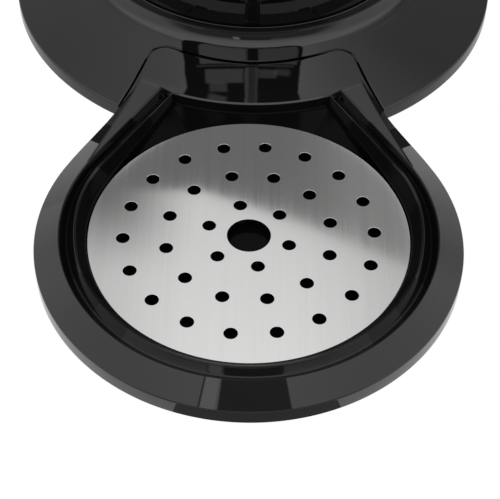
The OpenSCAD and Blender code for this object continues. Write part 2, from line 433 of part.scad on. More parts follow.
// ---- water tank ----
module tank_plan(o = 0, front = 9.2) intersection() { circle(r = 71 - o, $fn = 180); translate([-90, front + o]) square([180, 90]); }
module water_tank() color([0.35, 0.36, 0.38, 0.5]) at_col() difference() {
  union() {
    difference() { translate([0, 0, 13.2]) linear_extrude(248.8) tank_plan(); translate([0, 0, 16.2]) linear_extrude(260) tank_plan(2.4); }
    for (s = [-1, 1]) translate([s * 52 - 2, 9.6, 250]) { cube([4, 5.8, 17]); translate([0, 2.9, 17]) rotate([0, 90, 0]) cylinder(r = 2.9, h = 4); }
  }
  translate([0, valve_y, 0]) cylinder(r = 8, h = 30);
  translate([-80, 12.5, 267]) rotate([0, 90, 0]) cylinder(r = 1.5, h = 160);
}
module tank_lid() color([0.06, 0.06, 0.065]) at_col() difference() {
  union() {
    intersection() { translate([0, 12.5, 262.4]) translate([-90, 0, 0]) cube([180, 90, 20]); union() { translate([0, 0, 262.4]) linear_extrude(5) tank_plan(0.2); translate([0, 0, 267.3]) linear_extrude(2.7) tank_plan(2.6); } }
    translate([-62, 12.5, 267]) rotate([0, 90, 0]) cylinder(r = 2.9, h = 124);
    translate([0, 0, 258.4]) linear_extrude(4.2) difference() { intersection() { tank_plan(3.2); translate([-90, 22]) square([180, 90]); } intersection() { tank_plan(5.2); translate([-90, 24]) square([180, 90]); } }
  }
  for (s = [-1, 1]) translate([s * 52 - 2.4, 0, 255]) cube([4.8, 18.6, 30]);
  translate([-80, 12.5, 267]) rotate([0, 90, 0]) cylinder(r = 1.56, h = 160);
  translate([-26, 50, 267.9]) linear_extrude(9) { square([52, 8]); for (s = [0, 52]) translate([s, 4]) circle(r = 4); }
}
module tank_lid_pins() color([0.7, 0.7, 0.72]) at_col() for (s = [-1, 1]) translate([s * 52.5 - 8, 12.5, 267]) rotate([0, 90, 0]) cylinder(r = 1.5, h = 16);
module valve_body() color([0.85, 0.85, 0.83]) at_col() translate([0, valve_y, 0]) difference() {
  union() {
    translate([0, 0, 16.2]) cylinder(r = 12, h = 2);
    translate([0, 0, 8]) cylinder(r = 7.9, h = 9);
    for (a = [30, 150, 270]) rotate(a) translate([9.4, 0, 17]) cylinder(r = 1.4, h = 20);
    translate([0, 0, 36]) tube(11.2, 2.6, 1.8);
  }
  translate([0, 0, 5]) cylinder(r = 4.5, h = 20);
}
module valve_stem() color([0.2, 0.3, 0.6]) at_col() translate([0, valve_y, 0]) { translate([0, 0, 10]) cylinder(r = 2.2, h = 24); translate([0, 0, 19.8]) cylinder(r = 6.5, h = 1.6); }
module valve_seal() color([0.75, 0.3, 0.2]) at_col() translate([0, valve_y, 0]) translate([0, 0, 18.3]) tube(6.2, 4.6, 1.4);
module valve_spring() color([0.7, 0.7, 0.72]) at_col() translate([0, valve_y, 0]) coil(3.6, 0.35, 21.45, 35.95, 6);
module float_cage() color([0.85, 0.85, 0.83]) at_col() translate([-38, 36, 0]) difference() {
  union() { translate([0, 0, 16.2]) tube(11, 9.6, 44); translate([0, 0, 16.2]) cylinder(r = 11, h = 1.6); }
  for (a = [0, 90]) rotate(a) translate([-15, -3, 24]) cube([30, 6, 30]);
}
module level_float() color([0.85, 0.2, 0.15]) at_col() translate([-38, 36, 0]) translate([0, 0, 17.9]) cylinder(r = 9, h = 20);

base_cover();
base_pan();
base_feet();
pan_screws();
cord_gland();
tank_socket();
socket_seal();
drip_tray();
tray_pads();
drip_grate();
column_casing();
column_trim();
column_back();
chassis();
pump();
pump_mounts();
boiler();
boiler_clamp();
thermostat();
relief_valve();
inlet_hose();
feed_hose();
brew_hose();
power_board();
head_lower();
top_cover();
head_screws();
brew_bowl();
pod_holder();
pod_sieve();
coffee_collector();
spout();
brew_lid();
lid_liner();
spray_disc();
lid_seal();
hinge_pin();
lock_lever();
lever_pins();
button_one_cup();
button_power();
button_two_cups();
spring_one_cup();
spring_power();
spring_two_cups();
button_board();
panel_plate();
light_ring();
water_tank();
tank_lid();
tank_lid_pins();
valve_body();
valve_stem();
valve_spring();
valve_seal();
float_cage();
level_float();
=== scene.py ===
# Looks for the pod coffee machine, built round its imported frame.
import bpy, bmesh, json, math
import numpy as np
from mathutils import Vector, Matrix
from mathutils.geometry import tessellate_polygon

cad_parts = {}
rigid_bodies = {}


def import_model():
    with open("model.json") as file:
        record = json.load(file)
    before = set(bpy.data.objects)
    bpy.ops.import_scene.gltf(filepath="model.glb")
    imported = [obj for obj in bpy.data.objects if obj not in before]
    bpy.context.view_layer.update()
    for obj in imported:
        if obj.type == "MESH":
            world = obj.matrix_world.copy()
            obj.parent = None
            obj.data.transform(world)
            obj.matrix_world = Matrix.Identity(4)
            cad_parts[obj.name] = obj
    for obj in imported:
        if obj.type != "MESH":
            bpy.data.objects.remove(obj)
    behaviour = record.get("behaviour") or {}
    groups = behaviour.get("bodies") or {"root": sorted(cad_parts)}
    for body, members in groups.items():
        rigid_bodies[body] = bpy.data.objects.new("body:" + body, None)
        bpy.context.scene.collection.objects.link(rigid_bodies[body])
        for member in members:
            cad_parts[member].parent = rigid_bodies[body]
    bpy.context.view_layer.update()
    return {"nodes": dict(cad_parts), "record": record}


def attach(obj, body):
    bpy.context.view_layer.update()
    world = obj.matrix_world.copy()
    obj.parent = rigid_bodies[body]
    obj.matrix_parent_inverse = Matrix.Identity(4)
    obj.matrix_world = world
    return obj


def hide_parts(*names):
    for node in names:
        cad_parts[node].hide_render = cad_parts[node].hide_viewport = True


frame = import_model()
NODES = frame["nodes"]
SLOT = {s["node"]: s["material_slot"] for s in frame["record"]["subparts"]}
BODY = {n: b for b, ns in frame["record"]["behaviour"]["bodies"].items() for n in ns}

# Plan positions in mm: tray, foot and column centres on the Y axis
YT, YB, YC = -94.2, 67.8, 86.8
HINGE_Y, HINGE_Z, LEVER_Y, LEVER_Z = 62.0, 270.0, 20.0, 250.0
BTN_Y, BTN_X = 112.0, 33.0
HEAD_Z, SPLIT_Z, TOP_Z, SPOUT_Z = 184.0, 236.0, 272.0, 141.0
COL_R, HEAD_R, COL_GAP = 71.4, 66.0, 181.0


# ---------------------------------------------------------------- camera
def make_camera():
    cam_data = bpy.data.cameras.new("camera")
    cam = bpy.data.objects.new("camera", cam_data)
    bpy.context.scene.collection.objects.link(cam)
    pitch, yaw, roll = math.radians(48.46), math.radians(0.02), math.radians(0.88)
    c, s = math.cos(pitch), math.sin(pitch)
    turn = Matrix.Rotation(yaw, 3, "Z")
    fwd, right, up = turn @ Vector((0, c, -s)), turn @ Vector((1, 0, 0)), turn @ Vector((0, s, c))
    cr, sr = math.cos(roll), math.sin(roll)
    r2, u2 = cr * right + sr * up, -sr * right + cr * up
    m = Matrix((r2, u2, -fwd)).transposed().to_4x4()
    m.translation = Vector((0.0006, -0.4504, 0.4045))
    cam.matrix_world = m
    cam_data.sensor_width, cam_data.lens = 36.0, 102.84
    cam_data.clip_start, cam_data.clip_end = 0.01, 50
    bpy.context.scene.camera = cam


make_camera()


# ---------------------------------------------------------------- small geometry kit (millimetres)
def polar(r, a):
    return np.array([r * math.cos(math.radians(a)), r * math.sin(math.radians(a))])


def smin(a, b, k):
    h = np.clip(0.5 + 0.5 * (b - a) / k, 0, 1)
    return b * (1 - h) + a * h - k * h * (1 - h)


def smax(a, b, k):
    return -smin(-a, -b, k)


def step(x, a, b):
    t = np.clip((x - a) / (b - a), 0, 1)
    return t * t * (3 - 2 * t)


def fillet(pts, radii, n=6):
    """Rounds the corners of a closed 2-D outline; radii has one radius a corner."""
    out, m = [], len(pts)
    for i in range(m):
        p, a, b, r = np.array(pts[i], float), np.array(pts[i - 1], float), np.array(pts[(i + 1) % m], float), radii[i]
        if r <= 0:
            out.append(p)
            continue
        u, v = a - p, b - p
        lu, lv = np.linalg.norm(u), np.linalg.norm(v)
        u, v = u / lu, v / lv
        half = math.acos(max(-1, min(1, float(u @ v)))) / 2
        d = min(r / math.tan(half), 0.49 * lu, 0.49 * lv)
        rr = d * math.tan(half)
        c = p + (u + v) / np.linalg.norm(u + v) * rr / math.sin(half)
        s, e = p + u * d, p + v * d
        a0, a1 = math.atan2(*(s - c)[::-1]), math.atan2(*(e - c)[::-1])
        da = (a1 - a0 + math.pi) % (2 * math.pi) - math.pi
        for k in range(n + 1):
            out.append(c + rr * np.array([math.cos(a0 + da * k / n), math.sin(a0 + da * k / n)]))
    return np.array(out)


def inset(loop, d):
    """Moves a closed counter-clockwise 2-D loop inward by d."""
    p = np.asarray(loop, float)
    t = np.roll(p, -1, 0) - np.roll(p, 1, 0)
    t /= np.linalg.norm(t, axis=1)[:, None] + 1e-12
    return p + d * np.stack([-t[:, 1], t[:, 0]], 1)


def level(loop, z):
    return np.column_stack([loop, np.full(len(loop), float(z))])


def circle(r, n=128, c=(0, 0), a0=0.0):
    a = np.radians(a0) + np.arange(n) * 2 * np.pi / n
    return np.stack([c[0] + r * np.cos(a), c[1] + r * np.sin(a)], 1)


class Mesh:
    def __init__(self):
        self.v, self.f, self.m, self.flat, self.n = [], [], [], [], 0

    def add(self, v, f, mat=0, flat=False):
        v = np.asarray(v, float)
        self.v.append(v)
        self.f += [[i + self.n for i in q] for q in f]
        self.m += [mat] * len(f)
        self.flat += [flat] * len(f)
        self.n += len(v)
        return self

    def sheet(self, rows, close=False, mat=0):
        """A grid of quads; rows are equally long lists of points, close joins each row's ends."""
        rows = [np.asarray(r, float) for r in rows]
        m, n = len(rows), len(rows[0])
        f = []
        for j in range(m - 1):
            for i in range(n if close else n - 1):
                k = (i + 1) % n
                f.append([j * n + i, j * n + k, (j + 1) * n + k, (j + 1) * n + i])
        return self.add(np.concatenate(rows), f, mat)

    def cap(self, loops, mat=0):
        """A flat face bounded by the first loop with the others as holes."""
        loops = [np.asarray(q, float) for q in loops]
        tris = tessellate_polygon([[Vector(p) for p in q] for q in loops])
        return self.add(np.concatenate(loops), [list(t) for t in tris], mat, True)

    def lathe(self, profile, c=(0, 0), n=192, mat=0, closed=True, axis="z", start=0.0, base=0.0):
        """Turns an (r, h) profile about an axis through c."""
        p = np.asarray(profile, float)
        a = np.arange(n) * 2 * np.pi / n + start
        rows = []
        for r, h in (list(p) + ([p[0]] if closed else [])):
            x, y = r * np.cos(a), r * np.sin(a)
            if axis == "z":
                rows.append(np.column_stack([c[0] + x, c[1] + y, np.full(n, h)]))
            else:
                rows.append(np.column_stack([np.full(n, h), c[0] + x, c[1] + y]))
        return self.sheet(rows, True, mat)

    def prism(self, loop, z0, z1, top=0.5, bottom=0.0, n=5, mat=0, holes=()):
        """A closed upright prism over a smooth counter-clockwise loop with rounded edges."""
        rows = []
        if bottom:
            rows += [level(inset(loop, bottom * (1 - math.sin(q))), z0 + bottom * (1 - math.cos(q))) for q in np.linspace(0, math.pi / 2, n)]
        else:
            rows.append(level(loop, z0))
        if top:
            rows += [level(inset(loop, top * (1 - math.cos(q))), z1 - top * (1 - math.sin(q))) for q in np.linspace(0, math.pi / 2, n)]
        else:
            rows.append(level(loop, z1))
        self.sheet(rows, True, mat)
        hl = [circle(r, 48, c) for c, r in holes]
        self.cap([rows[0][::-1]] + [level(h, rows[0][0, 2]) for h in hl], mat)
        self.cap([rows[-1]] + [level(h[::-1], rows[-1][0, 2]) for h in hl], mat)
        for h in hl:
            self.sheet([level(h, rows[0][0, 2]), level(h, rows[-1][0, 2])], True, mat)
        return self

    def mirror(self):
        """Adds the mirror image in X."""
        v = np.concatenate(self.v)
        w = v.copy()
        w[:, 0] *= -1
        f = [q[::-1] for q in self.f]
        k, fl = self.m[:], self.flat[:]
        self.v, n = [v, w], len(v)
        self.f += [[i + n for i in q] for q in f]
        self.m += k
        self.flat += fl
        self.n = 2 * n
        return self

    def build(self, name, mats, angle=32, shift=(0, 0), merge=0.002):
        v = np.concatenate(self.v) + np.array([shift[0], shift[1], 0.0])
        me = bpy.data.meshes.new(name)
        bm = bmesh.new()
        vs = [bm.verts.new(p) for p in v * 0.001]
        for q, k, fl in zip(self.f, self.m, self.flat):
            q = [x for i, x in enumerate(q) if x != q[i - 1]]
            if len(q) > 2:
                try:
                    fc = bm.faces.new([vs[i] for i in q])
                    fc.material_index, fc.smooth = k, not fl
                except ValueError:
                    pass
        bmesh.ops.remove_doubles(bm, verts=bm.verts[:], dist=merge * 0.001)
        bmesh.ops.dissolve_degenerate(bm, edges=bm.edges[:], dist=1e-7)
        loose = [x for x in bm.verts if not x.link_faces]
        bmesh.ops.delete(bm, geom=loose, context="VERTS")
        bmesh.ops.recalc_face_normals(bm, faces=bm.faces[:])
        bm.to_mesh(me)
        bm.free()
        flat = [not q.use_smooth for q in me.polygons]
        me.set_sharp_from_angle(angle=math.radians(angle))
        if any(flat):
            for q, fl in zip(me.polygons, flat):
                q.use_smooth = not fl
        o = bpy.data.objects.new(name, me)
        bpy.context.scene.collection.objects.link(o)
        for mt in (mats if isinstance(mats, (list, tuple)) else [mats]):
            me.materials.append(mt)
        return o


def apply_modifiers(o):
    dg = bpy.context.evaluated_depsgraph_get()
    me = bpy.data.meshes.new_from_object(o.evaluated_get(dg))
    o.modifiers.clear()
    o.data = me


def cut(o, tool, operation="DIFFERENCE"):
    md = o.modifiers.new("cut", "BOOLEAN")
    md.operation, md.solver, md.object = operation, "EXACT", tool
    apply_modifiers(o)
    bpy.data.objects.remove(tool)
    return o


def bevel(o, width, angle=40, segments=3):
    md = o.modifiers.new("bevel", "BEVEL")
    md.width, md.segments, md.limit_method, md.angle_limit = width * 0.001, segments, "ANGLE", math.radians(angle)
    md.use_clamp_overlap = True
    apply_modifiers(o)
    for p in o.data.polygons:
        p.use_smooth = True
    o.data.set_sharp_from_angle(angle=math.radians(50))
    return o


def box_mesh(x0, y0, z0, x1, y1, z1, name="box", mats=()):
    m = Mesh()
    loop = np.array([[x0, y0], [x1, y0], [x1, y1], [x0, y1]], float)
    m.sheet([level(loop, z0), level(loop, z1)], True)
    m.cap([level(loop, z0)[::-1]])
    m.cap([level(loop, z1)])
    return m.build(name, list(mats))


def piece(o, node, also=(), body=None):
    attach(o, body or BODY[node])
    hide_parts(node, *also)
    return o


# ---------------------------------------------------------------- materials
def new_mat(name):
    m = bpy.data.materials.new(name)
    m.use_nodes = True
    nt = m.node_tree
    nt.nodes.clear()
    out = nt.nodes.new("ShaderNodeOutputMaterial")
    b = nt.nodes.new("ShaderNodeBsdfPrincipled")
    nt.links.new(b.outputs[0], out.inputs[0])
    return m, nt, b


def node(nt, kind, **kw):
    n = nt.nodes.new(kind)
    for k, v in kw.items():
        if k.startswith("i_"):
            key = k[2:]
            n.inputs[int(key) if key.isdigit() else key.replace("_", " ")].default_value = v
        else:
            setattr(n, k, v)
    return n


def coords(nt, scale=(1, 1, 1), rotation=(0, 0, 0)):
    tc = node(nt, "ShaderNodeTexCoord")
    mp = node(nt, "ShaderNodeMapping")
    mp.inputs["Scale"].default_value = scale
    mp.inputs["Rotation"].default_value = rotation
    nt.links.new(tc.outputs["Object"], mp.inputs["Vector"])
    return mp.outputs["Vector"]


def noise(nt, vec, scale, detail=4.0, rough=0.55):
    n = node(nt, "ShaderNodeTexNoise")
    n.inputs["Scale"].default_value, n.inputs["Detail"].default_value, n.inputs["Roughness"].default_value = scale, detail, rough
    nt.links.new(vec, n.inputs["Vector"])
    return n.outputs["Fac"]


def remap(nt, val, a, b, c, d):
    n = node(nt, "ShaderNodeMapRange")
    n.inputs["From Min"].default_value, n.inputs["From Max"].default_value = a, b
    n.inputs["To Min"].default_value, n.inputs["To Max"].default_value = c, d
    nt.links.new(val, n.inputs["Value"])
    return n.outputs["Result"]


def bump(nt, val, strength, distance, normal=None):
    n = node(nt, "ShaderNodeBump")
    n.inputs["Strength"].default_value, n.inputs["Distance"].default_value = strength, distance
    nt.links.new(val, n.inputs["Height"])
    if normal is not None:
        nt.links.new(normal, n.inputs["Normal"])
    return n.outputs["Normal"]


def rounded(nt, radius):
    n = node(nt, "ShaderNodeBevel", samples=4)
    n.inputs["Radius"].default_value = radius
    return n.outputs["Normal"]


def tint(nt, fac, c0, c1, lo=0.35, hi=0.65):
    r = node(nt, "ShaderNodeValToRGB")
    r.color_ramp.elements[0].position, r.color_ramp.elements[1].position = lo, hi
    r.color_ramp.elements[0].color, r.color_ramp.elements[1].color = (*c0, 1), (*c1, 1)
    nt.links.new(fac, r.inputs["Fac"])
    return r.outputs["Color"]


def gloss_plastic(name, c, rough=(0.03, 0.06), edge=0.0, peel=0.04):
    m, nt, b = new_mat(name)
    v = coords(nt)
    big, fine = noise(nt, v, 18, 3), noise(nt, v, 420, 2)
    nt.links.new(tint(nt, big, [x * 0.8 for x in c], [x * 1.25 for x in c]), b.inputs["Base Color"])
    nt.links.new(remap(nt, big, 0.3, 0.7, *rough), b.inputs["Roughness"])
    b.inputs["IOR"].default_value = 1.5
    b.inputs["Coat Weight"].default_value = 0.15
    b.inputs["Coat Roughness"].default_value = 0.02
    normal = rounded(nt, edge) if edge else None
    nt.links.new(bump(nt, fine, peel, 0.00001, normal), b.inputs["Normal"])
    return m


def satin_plastic(name, c, rough=(0.36, 0.5), grain=900, depth=0.00004, edge=0.0003, spec=0.4):
    m, nt, b = new_mat(name)
    v = coords(nt)
    big, g = noise(nt, v, 25, 4), noise(nt, v, grain, 3, 0.6)
    nt.links.new(tint(nt, big, [x * 0.82 for x in c], [min(1, x * 1.2) for x in c]), b.inputs["Base Color"])
    nt.links.new(remap(nt, g, 0.3, 0.7, *rough), b.inputs["Roughness"])
    b.inputs["Specular IOR Level"].default_value = spec
    nt.links.new(bump(nt, g, 0.35, depth, rounded(nt, edge) if edge else None), b.inputs["Normal"])
    return m


def brushed(name, c, along="Y", rough=(0.2, 0.32), aniso=0.75, edge=0.0, lines=1.0):
    """Straight-brushed metal, its lines along one axis."""
    m, nt, b = new_mat(name)
    sc = {"X": (4, 900, 900), "Y": (900, 4, 900), "Z": (900, 900, 4)}[along]
    s2 = {"X": (1, 120, 120), "Y": (120, 1, 120), "Z": (120, 120, 1)}[along]
    v, w = coords(nt, sc), coords(nt, s2)
    a, d, cloud = noise(nt, v, 3.0, 3, 0.7), noise(nt, w, 3.0, 4, 0.6), noise(nt, coords(nt), 14, 2)
    mix = node(nt, "ShaderNodeMath", operation="ADD")
    nt.links.new(a, mix.inputs[0])
    nt.links.new(d, mix.inputs[1])
    half = node(nt, "ShaderNodeMath", operation="MULTIPLY")
    nt.links.new(mix.outputs[0], half.inputs[0])
    half.inputs[1].default_value = 0.5
    nt.links.new(tint(nt, half.outputs[0], [x * (1 - 0.10 * lines) for x in c], [min(1, x * (1 + 0.05 * lines)) for x in c], 0.38, 0.62), b.inputs["Base Color"])
    rr = node(nt, "ShaderNodeMath", operation="ADD")
    nt.links.new(remap(nt, half.outputs[0], 0.35, 0.65, *rough), rr.inputs[0])
    nt.links.new(remap(nt, cloud, 0.3, 0.7, -0.015, 0.015), rr.inputs[1])
    nt.links.new(rr.outputs[0], b.inputs["Roughness"])
    b.inputs["Metallic"].default_value = 1.0
    b.inputs["Anisotropic"].default_value = aniso
    tg = node(nt, "ShaderNodeTangent", direction_type="RADIAL", axis={"X": "Z", "Y": "Z", "Z": "Z"}[along])
    # a straight tangent: the axis itself, as a constant vector
    cv = node(nt, "ShaderNodeCombineXYZ")
    cv.inputs[0].default_value, cv.inputs[1].default_value, cv.inputs[2].default_value = {"X": (1, 0, 0), "Y": (0, 1, 0), "Z": (0, 0, 1)}[along]
    nt.nodes.remove(tg)
    nt.links.new(cv.outputs[0], b.inputs["Tangent"])
    nt.links.new(bump(nt, half.outputs[0], 0.25 * lines, 0.00002, rounded(nt, edge) if edge else None), b.inputs["Normal"])
    return m


def plain_metal(name, c, rough=(0.08, 0.16), edge=0.0002, grain=260, depth=0.00001):
    m, nt, b = new_mat(name)
    v = coords(nt)
    big, fine = noise(nt, v, 30, 4), noise(nt, v, grain, 4)
    nt.links.new(tint(nt, big, [x * 0.9 for x in c], [min(1, x * 1.06) for x in c]), b.inputs["Base Color"])
    nt.links.new(remap(nt, fine, 0.3, 0.7, *rough), b.inputs["Roughness"])
    b.inputs["Metallic"].default_value = 1.0
    nt.links.new(bump(nt, fine, 0.1, depth, rounded(nt, edge) if edge else None), b.inputs["Normal"])
    return m


def rubber(name, c, rough=(0.62, 0.8)):
    m, nt, b = new_mat(name)
    v = coords(nt)
    big, g = noise(nt, v, 40, 4), noise(nt, v, 1400, 2)
    nt.links.new(tint(nt, big, [x * 0.85 for x in c], [min(1, x * 1.25) for x in c]), b.inputs["Base Color"])
    nt.links.new(remap(nt, g, 0.3, 0.7, *rough), b.inputs["Roughness"])
    b.inputs["Specular IOR Level"].default_value = 0.3
    nt.links.new(bump(nt, g, 0.3, 0.00003, rounded(nt, 0.0003)), b.inputs["Normal"])
    return m


def clear_plastic(name, c, rough=(0.02, 0.06), trans=1.0):
    m, nt, b = new_mat(name)
    v = coords(nt)
    big = noise(nt, v, 12, 3)
    nt.links.new(tint(nt, big, [x * 0.95 for x in c], [min(1, x * 1.05) for x in c]), b.inputs["Base Color"])
    nt.links.new(remap(nt, big, 0.3, 0.7, *rough), b.inputs["Roughness"])
    b.inputs["Transmission Weight"].default_value = trans
    b.inputs["IOR"].default_value = 1.4
    nt.links.new(bump(nt, noise(nt, v, 60, 2), 0.05, 0.00005), b.inputs["Normal"])
    return m


MAT = {
    "gloss_black": gloss_plastic("gloss_black", (0.0036, 0.0036, 0.0038), edge=0.0003),
    "satin_black": satin_plastic("satin_black", (0.02, 0.02, 0.021)),
    "brushed_steel": brushed("brushed_steel", (0.58, 0.58, 0.575), rough=(0.10, 0.15), aniso=0.35, lines=0.35),
    "chrome": plain_metal("chrome", (0.78, 0.78, 0.79)),
    "rubber_black": rubber("rubber_black", (0.02, 0.02, 0.02)),
    "seal_silicone": rubber("seal_silicone", (0.5, 0.12, 0.07), (0.35, 0.5)),
    "smoked_tank": clear_plastic("smoked_tank", (0.26, 0.28, 0.3)),
    "galvanised": plain_metal("galvanised", (0.5, 0.51, 0.53), (0.3, 0.5), grain=60),
    "cast_alu": plain_metal("cast_alu", (0.68, 0.68, 0.7), (0.35, 0.55), grain=500, depth=0.00006),
    "brass": plain_metal("brass", (0.75, 0.55, 0.22), (0.18, 0.3)),
    "hose_silicone": rubber("hose_silicone", (0.7, 0.7, 0.66), (0.3, 0.45)),
    "circuit_green": satin_plastic("circuit_green", (0.02, 0.16, 0.06), (0.25, 0.4), 300),
    "white_plastic": satin_plastic("white_plastic", (0.75, 0.75, 0.72), (0.35, 0.5), 500),
    "float_red": satin_plastic("float_red", (0.55, 0.04, 0.02), (0.4, 0.55), 600),
    "light_guide": clear_plastic("light_guide", (0.85, 0.9, 0.95), (0.25, 0.4), 0.6),
    "panel_black": gloss_plastic("panel_black", (0.002, 0.002, 0.0022), (0.015, 0.03), edge=0.0002),
    "pump_body": satin_plastic("pump_body", (0.04, 0.04, 0.045), (0.3, 0.45), 400),
    "spring_steel": plain_metal("spring_steel", (0.6, 0.6, 0.62), (0.15, 0.25)),
    "valve_blue": satin_plastic("valve_blue", (0.03, 0.09, 0.35), (0.35, 0.5), 500),
}
GLOSS = gloss_plastic("gloss_black_moulded", (0.0036, 0.0036, 0.0038), (0.03, 0.05))
# painted shade: the well, its floor and posts use a copy of the tray's black plastic that is a little darker and
# rougher, with its specular level cut to 0.035 and no coat, so the recess reads dark
WELL_SHADE = gloss_plastic("well_black_painted_shade", (0.0030, 0.0030, 0.0032), (0.07, 0.12))
WELL_SHADE.node_tree.nodes["Principled BSDF"].inputs["Specular IOR Level"].default_value = 0.035
WELL_SHADE.node_tree.nodes["Principled BSDF"].inputs["Coat Weight"].default_value = 0.0
# painted shade in the groove: copies of the channel's black plastic whose specular level steps from the front to the
# neck
CHANNEL_SHADE_STEPS = []
for k, shade_level_k in enumerate((0.28, 0.20, 0.14, 0.05, 0.32)):
    mt = gloss_plastic("channel_painted_shade_%d" % k, (0.0032, 0.0032, 0.0034), (0.05, 0.09))
    mt.node_tree.nodes["Principled BSDF"].inputs["Specular IOR Level"].default_value = shade_level_k
    mt.node_tree.nodes["Principled BSDF"].inputs["Coat Weight"].default_value = 0.0
    CHANNEL_SHADE_STEPS.append(mt)
STRIP = satin_plastic("strip_black", (0.004, 0.004, 0.0042), (0.2, 0.28), edge=0.0, spec=0.25)

# ---------------------------------------------------------------- foot and drip tray shapes
FOOT_R, RIM_Z, CONE_K, EDGE = 105.0, 8.2, 0.0897, 2.0
FOOT = np.array([0.0, 162.0])   # foot centre seen from the grate's centre
COL = np.array([0.0, 181.0])    # column centre seen from the grate's centre


def cone_z(x, y):
    return RIM_Z + (FOOT_R - np.hypot(x, y - FOOT[1])) * CONE_K


NA = polar(78.6, 27)
NB = NA + 21 * np.array([-math.sin(math.radians(27)), math.cos(math.radians(27))])
ND = np.array([44.0, 97.0])
NC = ND - 21 * np.array([-math.sin(math.radians(17)), math.cos(math.radians(17))])


def neck_side(t, g=0.0):
    t = np.asarray(t, float)[:, None]
    p = NA * (1 - t) ** 3 + NB * 3 * t * (1 - t) ** 2 + NC * 3 * t * t * (1 - t) + ND * t ** 3
    d = (NB - NA) * 3 * (1 - t) ** 2 + (NC - NB) * 6 * t * (1 - t) + (ND - NC) * 3 * t * t
    d /= np.linalg.norm(d, axis=1)[:, None]
    return p + g * np.stack([d[:, 1], -d[:, 0]], 1)


def neck_corner(n, g=0.0):
    a = np.radians(np.linspace(17, 120, n))
    return np.array([36.9, 98.2]) + (6.5 + g) * np.stack([np.cos(a), np.sin(a)], 1)


def neck_rear(n, g=0.0):
    a = np.radians(np.linspace(300, 270, n))
    return FOOT + (67 - g) * np.stack([np.cos(a), np.sin(a)], 1)


def resample(path, n):
    path = np.asarray(path, float)
    d = np.r_[0, np.cumsum(np.linalg.norm(np.diff(path, axis=0), axis=1))]
    s = np.linspace(0, d[-1], n) if np.isscalar(n) else np.asarray(n) * d[-1]
    return np.stack([np.interp(s, d, path[:, k]) for k in range(path.shape[1])], 1)


def edge_rows(base, outline, zf, r_edge, levels, z_bottom, lip=0.4):
    """Rows of points from an inner boundary to an outline and down its side, with a rounded top edge."""
    d = outline - base
    dn = d / np.linalg.norm(d, axis=1)[:, None]
    r = np.broadcast_to(np.asarray(r_edge, float), (len(d),))
    slope = (zf(outline - dn * (r * 1.2)[:, None], r * 1.2) - zf(outline - dn * (r * 0.6)[:, None], r * 0.6)) / (0.6 * r)
    a0 = np.arctan(np.clip(slope, 0, 3))
    off0 = r * (1 - np.sin(a0))
    x0 = outline - dn * off0[:, None]
    z0 = zf(x0, off0)
    rows = []
    for v in levels:
        p = base + (x0 - base) * v
        rows.append(np.column_stack([p, zf(p, np.linalg.norm(outline - p, axis=1))]))
    zc = z0 - r * np.cos(a0)
    for k in range(1, 8):
        a = a0 + (math.pi / 2 - a0) * k / 7
        rows.append(np.column_stack([outline - dn * (r * (1 - np.sin(a)))[:, None], zc + r * np.cos(a)]))
    rows.append(np.column_stack([outline, np.full(len(outline), z_bottom + lip)]))
    rows.append(np.column_stack([outline - dn * lip, np.full(len(outline), z_bottom)]))
    return rows


# ---- drip tray: one half, then mirrored
LB = 56.2
T27 = np.array([-math.sin(math.radians(27)), math.cos(math.radians(27))])
N27 = np.array([-math.cos(math.radians(27)), -math.sin(math.radians(27))])
C0 = polar(70.4, 27)
P_OUT = C0 + LB * T27


def line_arc(p, t, r):
    """Where the line p + s t first meets the circle of radius r about the foot's centre."""
    q = p - FOOT
    b, c = q @ t, q @ q - r * r
    return p + (-b - math.sqrt(b * b - c)) * t


LIP_R = 64.4
LIP0 = polar(LIP_R, 27)
P_IN = line_arc(LIP0, T27, 89.5)


Z_END = cone_z(*P_OUT)


def crest_z(t):
    """Height of the band's outer edge along the straight, from the round rim to the corner."""
    return 15.4 + (Z_END - 15.4) * np.asarray(t, float)


def spread(t):
    """How far the visible outline stands outside the CAD's, along the neck."""
    return 2.18 * (1 - step(t, 0.05, 0.62))


